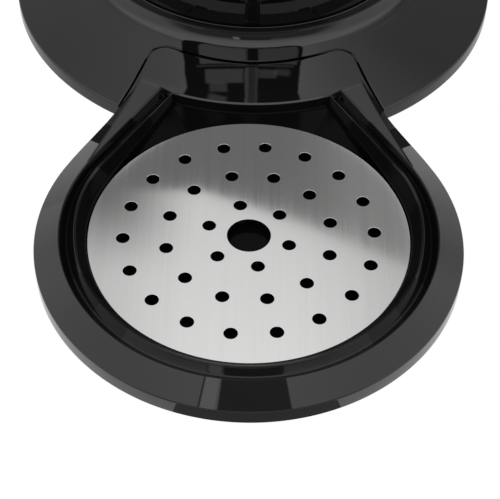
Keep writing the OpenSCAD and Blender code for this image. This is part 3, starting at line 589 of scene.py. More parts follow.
def make_tray():
    m = Mesh()
    nA, nB, nR = 170, 110, 56
    phi = np.radians(np.linspace(-90, 27, nA))
    tB = np.linspace(0, 1, nB + 1)[1:]
    dirA = np.stack([np.cos(phi), np.sin(phi)], 1)
    # profile of the round part as (radius, height), crest to floor
    groove = np.array([(70.4, 15.4), (70.25, 15.36), (70.08, 15.26), (69.9, 15.08), (68.6, 13.65), (68.0, 13.0), (67.75, 12.8), (67.45, 12.72), (67.15, 12.8), (66.9, 12.98),
                       (66.2, 13.62), (65.0, 14.75), (64.85, 14.9), (64.68, 15.1), (64.55, 15.2), (LIP_R, 15.24)])
    well = resample(np.array([(LIP_R, 15.24), (64.25, 15.2), (64.1, 15.1), (63.95, 14.95), (62.9, 14.0), (61.6, 12.95), (61.0, 12.5), (60.6, 12.1), (60.4, 11.6), (60.35, 11.0), (60.3, 9.6), (60.3, 7.2), (60.15, 6.75), (59.8, 6.5), (59.3, 6.4)]), 40)
    nG, nW = len(groove), len(well)
    # towards the neck the lip stands a little further out
    out = step(np.degrees(phi), -8, 24)

    def level_r(rr, f):
        k = 1.25 * (min((70.4 - rr) / (70.4 - LIP_R), (rr - 60.3) / (LIP_R - 60.3)) if rr > 60.3 else 0.0)
        return rr + max(k, 0.0) * f
    # rear wall of the recess: offset forward from its top edge, and height
    zr = cone_z(*P_IN)
    r = 0.55
    q = np.radians(np.linspace(0, 62, 9))
    wall = [(r * math.sin(a), zr - r * (1 - math.cos(a))) for a in q]
    wall += [(wall[-1][0] + (wall[-1][1] - 6.75) / math.tan(math.radians(62)), 6.75)]
    wall += [(wall[-1][0] + 0.18, 6.52), (wall[-1][0] + 0.55, 6.42), (wall[-1][0] + 1.1, 6.4)]
    wall = resample(np.array(wall), 40)
    side_z = wall[:, 1]
    cone_at = lambda p: cone_z(p[:, 0], p[:, 1])
    zcB = crest_z(tB)
    zc1 = crest_z([1.0])[0]
    f = (15.4 - zcB) / (15.4 - zc1)
    # groove levels
    rows = []
    ends = []
    depth = 1 - step(tB, 0.955, 0.995)
    for k, (rr, zz) in enumerate(groove):
        frac = (70.4 - rr) / (70.4 - LIP_R)
        end = P_OUT + (P_IN - P_OUT) * frac
        ends.append(end)
        a = np.column_stack([dirA * level_r(rr, out)[:, None], np.full(nA, zz)])
        p = polar(level_r(rr, 1), 27) + (end - polar(level_r(rr, 1), 27)) * tB[:, None]
        z = zcB + (zz - 15.4) * depth + (cone_z(*end) - zc1) * step(tB, 0.85, 1.0)
        rows.append(np.concatenate([a, np.column_stack([p, z])]))
    m.sheet(rows[:4])
    # angles where the groove's painted shade steps from one copy of the plastic to the next
    marks = [0] + [int(np.searchsorted(np.degrees(phi), v)) for v in (-50, -36, -22)] + [nA + nB - 1]

    def channel(levels, last):
        for k in range(4):
            m.sheet([q[marks[k]:marks[k + 1] + 1] for q in levels], mat=2 + (last if k == 3 else k))
    channel(rows[3:12], 3)
    channel(rows[11:], 4)
    end_edge = np.array([[*e, cone_z(*e)] for e in ends])
    # well side levels
    rows2, miter = [rows[-1]], [end_edge[-1]]
    for j in range(1, nW):
        rr, zz = well[j]
        a_off = (zr - side_z[j]) * 0.95
        M = line_arc(P_IN + N27 * a_off, T27, 89.5 + wall[j, 0])
        a = np.column_stack([dirA * level_r(rr, out)[:, None], np.full(nA, zz)])
        p = polar(level_r(rr, 1), 27) + (M - polar(level_r(rr, 1), 27)) * tB[:, None]
        z = zz + (side_z[j] - zz) * f
        z = np.maximum(z, 6.4)
        z[-1] = side_z[j]
        rows2.append(np.concatenate([a, np.column_stack([p, z])]))
        miter.append(np.array([*M, side_z[j]]))
    channel(rows2[:4], 4)
    m.sheet(rows2[3:], mat=1)
    # rear wall
    rows3 = []
    for j in range(nW):
        R = 89.5 + wall[j, 0]
        a0 = math.atan2(miter[j][1] - FOOT[1], miter[j][0])
        a = np.linspace(a0, -math.pi / 2, nR + 1)
        p = FOOT + R * np.stack([np.cos(a), np.sin(a)], 1)
        z = np.full(nR + 1, side_z[j])
        if j == 0:
            z = cone_at(p)
        rows3.append(np.column_stack([p, z]))
        rows3[-1][0] = miter[j]
    m.sheet(rows3[:4])
    m.sheet(rows3[3:], mat=1)
    # floor
    fl = np.concatenate([rows2[-1], rows3[-1][1:]])
    m.add(np.concatenate([fl, [[0, 0, 6.4]]]), [[i, i + 1, len(fl)] for i in range(len(fl) - 1)], 1)
    # outside: from the crest, the band's end and the recess edge to the outline
    u = np.linspace(0, 1, 400)
    side = neck_side(u, spread(u)[:, None])
    d = np.r_[0, np.cumsum(np.linalg.norm(np.diff(side, axis=0), axis=1))]
    sB = 0.885 * d[-1]
    oB = resample(side, tB * 0.885)
    sE = np.linspace(0.885, 1.0, nG)[1:]
    oE = resample(side, sE)
    rest = np.concatenate([neck_corner(60), neck_rear(60)[1:]])
    oR = resample(rest, nR + 1)[1:]
    base = np.concatenate([dirA * 70.4, np.array([C0 + t * LB * T27 for t in tB]), np.array(ends[1:]), rows3[0][1:, :2]])
    wide = 78.6 + 1.5 * (1 + np.sin(phi))
    outline = np.concatenate([dirA * wide[:, None], oB, oE, oR])
    tt = np.concatenate([np.zeros(nA), tB, np.ones(nG - 1), np.ones(nR)])

    span = np.concatenate([wide - 70.4, np.full(len(tt) - nA, 8.2)])

    def zf(p, dist):
        tq = np.clip(((p - C0) @ T27) / LB, 0, 1)
        s = crest_z(tq)
        flank = RIM_Z + dist * 7.2 / (8.2 + spread(0.885 * tq))
        z = smax(smin(s, flank, 0.35), cone_z(p[:, 0], p[:, 1]), 0.3)
        return np.where(tt <= 0, np.minimum(15.4, RIM_Z + dist * 7.2 / span), z)

    n = len(base)
    v = np.r_[0, 0.012, 0.03, np.linspace(0.06, 1, 60)]
    r_edge = 0.35 + 0.45 * step(np.hypot(outline[:, 0], outline[:, 1] - FOOT[1]), 100, 107)
    rows4 = edge_rows(base, outline, zf, r_edge, v, EDGE)
    # the first row is shared with the groove, the band's end and the rear wall
    first = np.concatenate([rows[0][:, :3], end_edge[1:], rows3[0][1:]])
    rows4[0] = first
    m.sheet(rows4)
    # underside: a narrow rim, then a shallow hollow
    b = rows4[-1]
    mid = np.array([0, 38.0])

    def shrink(w, z):
        c = b[:, :2] - mid
        return np.column_stack([mid + c * (1 - w / np.linalg.norm(c, axis=1))[:, None], np.full(len(b), z)])
    under = [b, shrink(2.4, 2.0), shrink(3.0, 4.4)]
    m.sheet(under)
    u = under[-1]
    m.add(np.concatenate([u, [[0, 38.0, 4.4]]]), [[i, i + 1, len(u)] for i in range(len(u) - 1)])
    m.mirror()
    for k in range(8):
        m.lathe([(0, 6.0), (2.6, 6.0), (2.6, 9.4), (2.4, 9.68), (0, 9.68)], polar(54.5, 22.5 + 45 * k), 24, 1, closed=False)
    return m.build("tray_moulding", [GLOSS, WELL_SHADE] + CHANNEL_SHADE_STEPS, 34, (0, YT))


tray = piece(make_tray(), "drip_tray")


def make_grate():
    m = Mesh()
    z1, t, b = 10.5, 0.8, 0.14
    R = 60.0
    holes = [((0.0, 0.0), 8.1, 96)]
    for k in (1, 2, 3):
        for i in range(6 * k):
            holes.append((tuple(polar(15.6 * k, -17.15 + 360 / (6 * k) * i)), 2.5, 48))
    loops_t = [level(circle(R - b, 320), z1)]
    loops_b = [level(circle(R - b, 320), z1 - t)[::-1]]
    for c, r, n in holes:
        loops_t.append(level(circle(r + b, n, c), z1)[::-1])
        loops_b.append(level(circle(r + b, n, c), z1 - t))
        prof = [(r + b, z1), (r + b * 0.3, z1 - b * 0.3), (r, z1 - b), (r, z1 - t + b), (r + b * 0.3, z1 - t + b * 0.3), (r + b, z1 - t)]
        m.sheet([level(circle(q, n, c), z) for q, z in prof], True)
    m.cap(loops_t)
    m.cap(loops_b)
    prof = [(R - b, z1), (R - b * 0.3, z1 - b * 0.3), (R, z1 - b), (R, z1 - t + b), (R - b * 0.3, z1 - t + b * 0.3), (R - b, z1 - t)]
    m.sheet([level(circle(q, 320), z) for q, z in prof], True)
    return m.build("grate_plate", MAT["brushed_steel"], 25, (0, YT), merge=0.0005)


grate = piece(make_grate(), "drip_grate")


def make_foot():
    m = Mesh()
    G, wider = 0.85, np.linspace(0.85, 1.35, 60)[:, None]
    side = neck_side(np.linspace(0, 1, 400), G)
    rho = np.hypot(side[:, 0], side[:, 1] - FOOT[1])
    k0 = int(np.argmax(rho < FOOT_R))
    side = side[k0:]
    a_cut = math.atan2(side[0, 1] - FOOT[1], side[0, 0])
    nD, nS, nC, nR = 260, 56, 40, 50
    aD = np.linspace(math.pi / 2, a_cut, nD)  # from the rear, clockwise to the notch
    disc = FOOT + FOOT_R * np.stack([np.cos(aD), np.sin(aD)], 1)
    W = np.concatenate([disc, resample(side, nS + 1)[1:], resample(np.concatenate([neck_corner(60, wider), neck_rear(60, 1.35)[1:]]), nC + nR + 1)[1:]])
    W[-1, 0] = 0
    n = len(W)
    # where each station meets the collar's circle
    s = np.arange(n)
    own = np.arctan2(W[:nD, 1] - COL[1], W[:nD, 0])
    notch = math.radians(-45.5)
    aK = np.empty(n)
    f = np.linspace(0, 1, nD)
    aK[:nD] = math.pi / 2 + (own - math.pi / 2) * (notch - math.pi / 2) / (own[-1] - math.pi / 2)
    aK[nD:nD + nS] = np.linspace(notch, math.radians(-62), nS + 1)[1:]
    aK[nD + nS:] = np.linspace(math.radians(-62), -math.pi / 2, nC + nR + 1)[1:]
    K = COL + 83.9 * np.stack([np.cos(aK), np.sin(aK)], 1)

    def zf(p, dist=0):
        r = np.hypot(p[:, 0], p[:, 1] - COL[1])
        c = np.where(r < 81.2, 19.7 - np.sqrt(np.clip(8.5 ** 2 - (81.2 - np.minimum(r, 81.2)) ** 2, 0, None)), 11.2 - (r - 81.2) * 0.9)
        return smax(cone_z(p[:, 0], p[:, 1]), c, 0.8)

    r_edge = np.full(n, 0.35)
    r_edge[:nD] = 0.35 + 0.45 * step(np.abs(aD - a_cut), 0.0, 0.03)
    rows = edge_rows(K, W, zf, r_edge, np.r_[0, np.linspace(0.02, 1, 36)], EDGE)
    rows = rows[::-1]
    # collar fillet
    for r in np.concatenate([np.linspace(83.9, 78, 24)[1:], np.linspace(78, 72.7, 32)[1:]]):
        p = COL + r * np.stack([np.cos(aK), np.sin(aK)], 1)
        rows.append(np.column_stack([p, zf(p)]))
    zt = rows[-1][:, 2].mean()
    for r, z in [(72.62, 18.3), (72.5, 18.45), (72.32, 18.5), (72.15, 18.46), (72.03, 18.32), (72.0, 18.1), (72.0, 12.4)]:
        rows.append(np.column_stack([COL + r * np.stack([np.cos(aK), np.sin(aK)], 1), np.full(n, z)]))
    m.sheet(rows)
    b = rows[0]
    c = b[:, :2] - np.array([0, 186.0])
    def shrink(w, z):
        return np.column_stack([np.array([0, 186.0]) + c * (1 - w / np.linalg.norm(c, axis=1))[:, None], np.full(n, z)])
    under = [b, shrink(2.6, 2.0), shrink(2.7, 4.3)]
    m.sheet(under)
    u = under[-1]
    m.mirror()
    o = m.build("foot_cover", GLOSS, 34, (0, YT))
    # shelf inside the collar, with the valve's opening, closed top and bottom
    m2 = Mesh()
    ring = circle(72.0, 160, COL)
    hole = circle(13.3, 64, COL + np.array([0, 42.0]))
    m2.cap([level(ring, 12.4), level(hole[::-1], 12.4)])
    m2.cap([level(ring[::-1], 10.4), level(hole, 10.4)])
    m2.sheet([level(ring, 10.4), level(ring, 12.4)], True)
    m2.sheet([level(hole, 10.4), level(hole, 12.4)], True)
    shelf = m2.build("foot_shelf", GLOSS, 34, (0, YT))
    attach(shelf, "machine")
    return o


foot = piece(make_foot(), "base_cover")


# ---------------------------------------------------------------- column
def make_column():
    m = Mesh()
    flat = math.asin(8.2 / COL_R)
    a = np.linspace(math.pi - flat, 2 * math.pi + flat, 260)[::1]
    half = math.asin(2.5 / COL_R)
    out = COL_R * np.stack([np.cos(a), np.sin(a)], 1)
    # the groove for the trim strip
    g = np.abs(np.arctan2(out[:, 0], -out[:, 1])) < half
    z0, z1 = 12.4, 235.9
    rows = []
    inn = (COL_R - 2.6) * np.stack([np.cos(a), np.sin(a)], 1)
    loop = np.concatenate([out, inn[::-1]])
    def at(r, z):
        k = np.concatenate([out * (r / COL_R), inn[::-1]])
        k[:1, 1] = k[259:260, 1] = 8.2
        return level(k, z)
    m.sheet([at(71.7, z0), at(71.88, z0 + 0.5), at(71.88, 18.55), at(71.8, 18.75), at(71.62, 18.87), at(71.5, 19.0), at(COL_R, 19.35), at(COL_R, z1)], True)
    m.cap([at(71.7, z0)[::-1]])
    m.cap([at(COL_R, z1)])
    o = m.build("column_shell", GLOSS, 34, (0, YC))
    win = box_mesh(-50, YC - 90, HEAD_Z + 18, 50, YC - 30, 300)
    cut(o, win)
    groove = box_mesh(-2.5, YC - COL_R - 3, 21.5, 2.5, YC - COL_R + 1.3, 181.5)
    cut(o, groove)
    cyl = Mesh().lathe([(0, -90), (6, -90), (6, -30), (0, -30)], (YC - 12, 34), 48, closed=False, axis="x").build("cyl", [])
    cut(o, cyl)
    for p in o.data.polygons:
        p.use_smooth = True
    o.data.set_sharp_from_angle(angle=math.radians(34))
    return o


column = piece(make_column(), "column_casing")


def make_trim():
    m = Mesh()
    w, r0, r1 = 2.2, COL_R - 1.2, COL_R + 0.3
    prof = fillet([(-w, -r0), (-w, -r1), (w, -r1), (w, -r0)], [0, 0.5, 0.5, 0], 5)[::-1]
    z0, z1 = 21.8, 181.2
    rows = [level(prof * [0.8, 1] + [0, 0.35], z0), level(prof, z0 + 0.35), level(prof, z1 - 0.35), level(prof * [0.8, 1] + [0, 0.35], z1)]
    m.sheet(rows, True)
    m.cap([rows[0][::-1]])
    m.cap([rows[-1]])
    return m.build("column_strip", STRIP, 40, (0, YC))


trim = piece(make_trim(), "column_trim")


# ---------------------------------------------------------------- head shells
def head_ring(o, cut_y, m=200):
    n = np.array([math.sqrt(1 - ((COL_R - HEAD_R) / COL_GAP) ** 2), -(COL_R - HEAD_R) / COL_GAP])
    q = math.atan2(n[1], n[0])
    f = math.asin(cut_y / (COL_R + o))
    a = math.pi - q + (math.pi + 2 * q) * np.linspace(0, 1, m + 1)
    p = (HEAD_R + o) * np.stack([np.cos(a), np.sin(a)], 1)
    a2 = q + (f - q) * np.linspace(0, 1, 24)
    b = np.array([0, COL_GAP]) + (COL_R + o) * np.stack([np.cos(a2), np.sin(a2)], 1)
    a3 = math.pi - f + (f - q) * np.linspace(0, 1, 24)
    c = np.array([0, COL_GAP]) + (COL_R + o) * np.stack([np.cos(a3), np.sin(a3)], 1)
    # even spacing along the straight sides
    s1 = p[-1] + (b[0] - p[-1]) * np.linspace(0, 1, 90)[1:-1, None]
    back = b[-1] + (c[0] - b[-1]) * np.linspace(0, 1, 60)[1:-1, None]
    s2 = c[-1] + (p[0] - c[-1]) * np.linspace(0, 1, 90)[1:-1, None]
    return np.concatenate([p, s1, b, back, c, s2])


def shell(name, z_open, z_flat, r, up, t=2.6, edge=0.35):
    """A hollow half shell with a big round edge, open at z_open."""
    m = Mesh()
    sgn = 1 if up else -1
    outer, inner = [], []
    e = edge
    for q in np.linspace(0, math.pi / 2, 4):
        outer.append(level(head_ring(-e * (1 - math.sin(q)), 8.4 - e * (1 - math.sin(q))), z_open + sgn * e * (1 - math.cos(q))))
    for q in np.linspace(0, math.pi / 2, 26):
        i = r * (1 - math.cos(q))
        outer.append(level(head_ring(-i, 8.4), z_flat - sgn * r * (1 - math.sin(q))))
    inner.append(level(head_ring(-t, 8.4 - t), z_open))
    for q in np.linspace(0, math.pi / 2, 14):
        i = t + (r - t) * (1 - math.cos(q))
        inner.append(level(head_ring(-i, 8.4 - t), z_flat - sgn * (t + (r - t) * (1 - math.sin(q)))))
    m.sheet(outer, True)
    m.sheet(inner, True)
    m.sheet([outer[0], inner[0]], True)
    m.cap([outer[-1]])
    m.cap([inner[-1]])
    return m.build(name, GLOSS, 34, (0, YT))


def resmooth(o, angle=34):
    for p in o.data.polygons:
        p.use_smooth = True
    o.data.set_sharp_from_angle(angle=math.radians(angle))
    return o


head = shell("head_shell", SPLIT_Z, HEAD_Z, 18, False)
cyl = Mesh().lathe([(0, 150), (COL_R + 0.15, 150), (COL_R + 0.15, 250), (0, 250)], (0, YC), 360, closed=False).build("cyl", [])
cut(head, cyl)
cyl = Mesh().lathe([(0, 170), (22, 170), (22, 190), (0, 190)], (0, YT), 128, closed=False).build("cyl", [])
cut(head, cyl)
resmooth(head)
piece(head, "head_lower")

top = shell("top_shell", SPLIT_Z + 0.4, TOP_Z, 15, True)
lid = top.copy()
lid.data = top.data.copy()
lid.name = "lid_shell"
bpy.context.scene.collection.objects.link(lid)
cut(lid, box_mesh(-90, YT - 90, 230, 90, YT + HINGE_Y - 0.35, 280), "INTERSECT")
cut(top, box_mesh(-90, YT + HINGE_Y + 0.35, 230, 90, YT + 300, 280), "INTERSECT")


def x_cyl(x0, x1, r, y, z, n=64):
    return Mesh().lathe([(0, x0), (r, x0), (r, x1), (0, x1)], (y, z), n, closed=False, axis="x")


def z_cyl(r, z0, z1, c, n=96, name="cyl", mats=()):
    return Mesh().lathe([(0, z0), (r, z0), (r, z1), (0, z1)], c, n, closed=False).build(name, list(mats))


# the lid: boss for the hinge, reliefs for the cover's ears, and side bosses for the lever's pins
cut(lid, x_cyl(-57, 57, 5.8, YT + HINGE_Y, HINGE_Z).build("cyl", []))
m = Mesh()
for x0, x1 in ((-39.8, 39.8),):
    m.lathe([(1.6, x0), (3.4, x0), (4.0, x0 + 0.6), (4.0, x1 - 0.6), (3.4, x1), (1.6, x1)], (YT + HINGE_Y, HINGE_Z), 64, axis="x")
barrel = m.build("lid_barrel", GLOSS, 34)
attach(barrel, "lid")
web = Mesh()
prof = np.array([(-8.5, -5.8), (-3.2, -2.6), (-2.7, 0.4), (-3.4, 1.9), (-8.5, 1.9)]) + [YT + HINGE_Y, HINGE_Z]
web.sheet([np.column_stack([np.full(5, x), prof]) for x in (-39.8, 39.8)], True)
for x, d in ((-39.8, 1), (39.8, -1)):
    web.cap([np.column_stack([np.full(5, x), prof])[::d]])
web = web.build("lid_web", GLOSS, 34)
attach(web, "lid")
for s in (-1, 1):
    b = Mesh().lathe([(2.5, 0), (6, 0), (6, 9.0), (5.6, 9.6), (2.5, 9.6)], (YT + LEVER_Y, LEVER_Z), 64, axis="x")
    b.v = [v * [s, 1, 1] + [s * 55.2, 0, 0] for v in b.v]
    b = b.build("lid_boss_%s" % ("l" if s < 0 else "r"), GLOSS, 34)
    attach(b, "lid")
resmooth(lid)
piece(lid, "brew_lid")

# the rear cover: hinge ears, holes for the buttons and the panel's recess
cut(top, x_cyl(-54.2, 54.2, 5.8, YT + HINGE_Y, HINGE_Z).build("cyl", []))
cut(top, x_cyl(-80, 80, 2.85, YT + HINGE_Y, HINGE_Z).build("cyl", []))
arc = np.radians(np.linspace(-90, 90, 48))
end = 17 * np.stack([np.cos(arc), np.sin(arc)], 1)
slot_loop = np.concatenate([end + [38, 0], -end + [-38, 0]])
rec = Mesh().prism(slot_loop + [0, YT + BTN_Y], TOP_Z - 0.8, TOP_Z + 3, 0, 0).build("recess", [])
cut(top, rec)
for x, r in ((-BTN_X, 9.3), (0, 12.3), (BTN_X, 9.3)):
    cut(top, z_cyl(r, 250, 280, (x, YT + BTN_Y)))
resmooth(top)
piece(top, "top_cover")
for s in (-1, 1):
    e = Mesh().lathe([(1.56, -6.1), (3.5, -6.1), (4, -5.6), (4, 5.6), (3.5, 6.1), (1.56, 6.1)], (YT + HINGE_Y, HINGE_Z), 64, axis="x")
    e.v = [v + [s * 47.2, 0, 0] for v in e.v]
    e = e.build("cover_ear_%s" % ("l" if s < 0 else "r"), GLOSS, 34)
    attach(e, "machine")
    w = Mesh()
    prof = np.array([(2.7, -5.8), (8.5, -5.8), (8.5, 1.9), (3.4, 1.9), (2.4, 0.4)]) + [YT + HINGE_Y, HINGE_Z]
    x0, x1 = s * 47.2 - 6.1, s * 47.2 + 6.1
    w.sheet([np.column_stack([np.full(5, x), prof]) for x in (x0, x1)], True)
    for x, d in ((x0, 1), (x1, -1)):
        w.cap([np.column_stack([np.full(5, x), prof])[::d]])
    w = w.build("cover_web_%s" % ("l" if s < 0 else "r"), GLOSS, 34)
    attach(w, "machine")

# panel plate, light ring and buttons
m = Mesh()
m.prism(inset(slot_loop, 0.25) + [0, YT + BTN_Y], TOP_Z - 0.8, TOP_Z + 0.2, 0.2, 0, 4,
        holes=[((-BTN_X, YT + BTN_Y), 9.4), ((0, YT + BTN_Y), 14.8), ((BTN_X, YT + BTN_Y), 9.4)])
panel = piece(m.build("panel_insert", MAT["panel_black"], 40), "panel_plate")
m = Mesh().lathe([(12.4, 271.2), (12.4, 272.3), (12.6, 272.5), (14.4, 272.5), (14.6, 272.3), (14.6, 271.2)], (0, YT + BTN_Y), 96)
piece(m.build("ring_light", MAT["light_guide"], 34), "light_ring")


def button(name, nd, x, r, symbol):
    m = Mesh()
    prof = [(0, 258), (3, 258), (3, 265), (r - 1.5, 265), (r - 0.4, 265.0), (r, 265.4), (r, 272.9)]
    for q in np.linspace(0, math.pi / 2, 7):
        prof.append((r - 0.9 * (1 - math.cos(q)), 272.9 + 0.9 * math.sin(q)))
    prof += [(r - 2.2, 273.72), (r * 0.5, 273.5), (0, 273.4)]
    m.lathe(prof, (x, YT + BTN_Y), 96, closed=False)
    for (cx, cy), r0, r1, a0, a1 in symbol:
        n = 40 if a1 - a0 < 359 else 64
        a = np.radians(np.linspace(a0, a1, n))
        rows = []
        for rr, z in ((r0, 273.3), (r0, 273.78), (r1, 273.78), (r1, 273.3)):
            rows.append(np.column_stack([x + cx + rr * np.cos(a), YT + BTN_Y + cy + rr * np.sin(a), np.full(n, z)]))
        m.sheet(rows, mat=1)
        if a1 - a0 < 359:
            for k in (0, -1):
                m.cap([np.array([q[k] for q in rows])], 1)
    o = m.build(name, [MAT[SLOT[nd]], MAT["white_plastic"] if SLOT[nd] != "chrome" else MAT["satin_black"]], 34)
    return piece(o, nd)


button("one_cup_key_cap", "button_one_cup", -BTN_X, 9.0, [((0, 0), 1.5, 2.6, 0, 360)])
button("power_key_cap", "button_power", 0, 12.0,
       [((0, 0), 4.0, 4.7, 125, 415)])
button("two_cups_key_cap", "button_two_cups", BTN_X, 9.0,
       [((-3.2, 0), 1.5, 2.6, 0, 360), ((3.2, 0), 1.5, 2.6, 0, 360)])


# ---------------------------------------------------------------- lever round the lid
def make_lever():
    m = Mesh()
    sec = fillet([(67.6, 244), (71.6, 244), (71.6, 256), (67.6, 256)], [1.2, 1.6, 1.6, 1.2], 6)
    rows = []
    for a in np.radians(np.linspace(180, 360, 161)):
        rows.append(np.column_stack([sec[:, 0] * math.cos(a), YT + sec[:, 0] * math.sin(a), sec[:, 1]]))
    def arm(x):
        out = []
        for y in np.linspace(0, LEVER_Y, 6)[1:]:
            out.append(np.column_stack([math.copysign(1, x) * sec[:, 0], np.full(len(sec), YT + y), sec[:, 1]]))
        return out
    rows = arm(-1)[::-1] + rows + arm(1)
    m.sheet(rows, True)
    m.cap([rows[0]])
    m.cap([rows[-1][::-1]])
    for s in (-1, 1):
        b = Mesh().lathe([(2.5, 67.6), (5.4, 67.6), (6, 68.2), (6, 70.9), (5.3, 71.6), (2.5, 71.6)], (YT + LEVER_Y, LEVER_Z), 72, axis="x")
        m.add(b.v[0] * [s, 1, 1], b.f)
    # thumb tab: a soft-cornered paddle with a shallow dish on top
    tab = fillet([(-13, -70), (-13, -77.5), (13, -77.5), (13, -70)], [0, 4.5, 4.5, 0], 10)
    tab = resample(np.vstack([tab, tab[:1]]), 97)[:-1]
    rows = []
    c = np.array([0, -71.0])
    def ring(k, z):
        q = c + (tab - c) * k
        return np.column_stack([q[:, 0], q[:, 1] + YT, np.full(len(q), z)])
    for k, z in ((0.0, 245.0), (0.5, 245.0), (0.85, 245.0), (0.93, 245.15), (0.98, 245.7), (1.0, 246.6), (1.0, 253.4), (0.985, 254.3), (0.945, 254.85), (0.89, 255.0), (0.8, 254.8), (0.6, 254.2), (0.3, 253.7), (0.0, 253.6)):
        rows.append(ring(max(k, 0.001), z))
    m.sheet(rows, True)
    return m.build("lever_bail", MAT["chrome"], 34)


piece(make_lever(), "lock_lever")


# ---------------------------------------------------------------- coffee outlets
def make_spout():
    m = Mesh()
    for s in (-1, 1):
        m.lathe([(2.6, 141.3), (2.9, 141.0), (4.2, 141.0), (4.6, 141.4), (5.2, 150), (6.0, 160), (6.4, 169), (2.6, 169)], (s * 8, YT), 72)
    loop = fillet([(-11, -6.2), (11, -6.2), (11, 6.2), (-11, 6.2)], [5.4] * 4, 10) + [0, YT]
    rows = []
    for k in np.linspace(0, 1, 14):
        z = 153 + 14 * k
        sx, sy = 0.62 + 0.38 * math.sqrt(k), 0.7 + 0.3 * math.sqrt(k)
        rows.append(level((loop - [0, YT]) * [sx, sy] + [0, YT], z))
    m.sheet(rows, True)
    m.cap([rows[0][::-1]])
    m.cap([rows[-1]])
    m.lathe([(0, 165.0), (12.8, 165.0), (13.6, 165.3), (14.4, 166), (16.6, 169.5), (18.4, 173.5), (19.6, 177), (20, 179), (20, 186.6), (20.4, 187.0), (23.9, 187.0), (24.3, 187.4), (24.3, 188.6), (20, 188.8), (20, 195.4), (12, 195.4), (12, 178), (0, 176)], (0, YT), 128, closed=False)
    return m.build("outlet_spout", MAT["satin_black"] if SLOT["spout"] == "satin_black" else MAT[SLOT["spout"]], 34)


piece(make_spout(), "spout")


# ---------------------------------------------------------------- water tank and its lid
def tank_loop(r, cut_y, n=220, k=60):
    f = math.asin(cut_y / r)
    a = np.linspace(f, math.pi - f, n)
    arc = r * np.stack([np.cos(a), np.sin(a)], 1)
    return np.concatenate([arc, arc[-1] + (arc[0] - arc[-1]) * np.linspace(0, 1, k)[1:-1, None]])


def make_tank():
    m = Mesh()
    rows = []
    for q in np.linspace(0, math.pi / 2, 8):
        i = 2.5 * (1 - math.sin(q))
        rows.append(level(tank_loop(71 - i, 9.2 + i), 13.2 + 2.5 * (1 - math.cos(q))))
    rows += [level(tank_loop(71, 9.2), z) for z in (60, 110, 160, 210, 261.3)]
    rows += [level(tank_loop(71 - i, 9.2 + i), z) for i, z in ((0.1, 261.75), (0.4, 262.0), (2.0, 262.0), (2.3, 261.8), (2.4, 261.4), (2.4, 200), (2.4, 140), (2.4, 80), (2.4, 19))]
    for q in np.linspace(0.2, math.pi / 2, 8):
        i = 2.4 + 2.5 * (1 - math.cos(q))
        rows.append(level(tank_loop(71 - i, 9.2 + i), 18.7 - 2.5 * math.sin(q)))
    m.sheet(rows, True)
    hole = circle(8.0, 64, (0, 42))
    m.cap([rows[0][::-1], level(hole, 13.2)])
    m.cap([rows[-1], level(hole[::-1], 16.2)])
    m.sheet([level(hole, 13.2), level(hole, 16.2)], True)
    for s in (-1, 1):
        ear = [(9.6, 250.0), (15.4, 250.0), (15.4, 267.0)] + [(12.5 + 2.9 * math.cos(q), 267 + 2.9 * math.sin(q)) for q in np.linspace(0, math.pi, 17)[1:-1]] + [(9.6, 267.0)]
        ear = np.array(ear)
        rows = [np.column_stack([np.full(len(ear), s * 52 + x), (ear - [12.5, 260]) * k + [12.5, 260]]) for x, k in ((-2, 0.97), (-1.7, 1.0), (1.7, 1.0), (2, 0.97))]
        m.sheet(rows, True)
        m.cap([rows[0]])
        m.cap([rows[-1][::-1]])
    return m.build("tank_shell", MAT["smoked_tank"], 34, (0, YC))


piece(make_tank(), "water_tank")


def make_tank_lid():
    m = Mesh()
    rows = []
    def ring(o, z):
        return level(tank_loop(70.8 - o, 12.5 + min(o, 1.2) * 0.4), z)
    rows = [ring(3.0, 262.4), ring(0.4, 262.4), ring(0.1, 262.5), ring(0, 262.8), ring(0, 266.6)]
    for q in np.linspace(0, math.pi / 2, 12)[1:]:
        rows.append(ring(2.9 * (1 - math.cos(q)), 266.9 + 2.7 * math.sin(q)))
    rows += [ring(8, 269.85), ring(16, 269.98)]
    m.sheet(rows, True)
    m.cap([rows[0][::-1]])
    m.cap([rows[-1]])
    o = m.build("tank_lid_shell", GLOSS, 34, (0, YC))
    for s in (-1, 1):
        cut(o, box_mesh(s * 52 - 2.4, YC, 255, s * 52 + 2.4, YC + 18.6, 290))
    # finger dish: a round-ended slot with sloping sides
    arc = np.radians(np.linspace(-90, 90, 32))
    e = 4 * np.stack([np.cos(arc), np.sin(arc)], 1)
    loop = np.concatenate([e + [26, 54], -e + [-26, 54]])
    d = Mesh()
    rr = [level(inset(loop, 1.6), 267.9), level(inset(loop, 1.3), 267.95), level(inset(loop, 0.9), 268.3), level(inset(loop, 0.1), 269.7), level(inset(loop, -0.25), 270.3), level(inset(loop, -0.25), 274)]
    d.sheet(rr, True)
    d.cap([rr[0][::-1]])
    d.cap([rr[-1]])
    cut(o, d.build("dish", [], 34, (0, YC)))
    resmooth(o)
    for x0, x1 in ((-61.8, -54.6), (-49.4, 49.4), (54.6, 61.8)):
        b = Mesh().lathe([(1.6, x0), (2.5, x0), (2.9, x0 + 0.4), (2.9, x1 - 0.4), (2.5, x1), (1.6, x1)], (YC + 12.5, 267), 48, axis="x")
        b = b.build("tank_lid_knuckle_%d" % int(x0 + 100), GLOSS, 34)
        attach(b, "tank_cap")
    # skirt that drops inside the tank
    k = Mesh()
    out_, in_ = tank_loop(67.8, 22.2), tank_loop(65.8, 24.2)
    seq = [level(out_, 262.5), level(out_, 258.8), level(tank_loop(67.4, 22.6), 258.4), level(tank_loop(66.2, 23.8), 258.4), level(in_, 258.8), level(in_, 262.5)]
    k.sheet(seq + [seq[0]], True)
    k = k.build("tank_lid_skirt", GLOSS, 34, (0, YC))
    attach(k, "tank_cap")
    return o


piece(make_tank_lid(), "tank_lid")


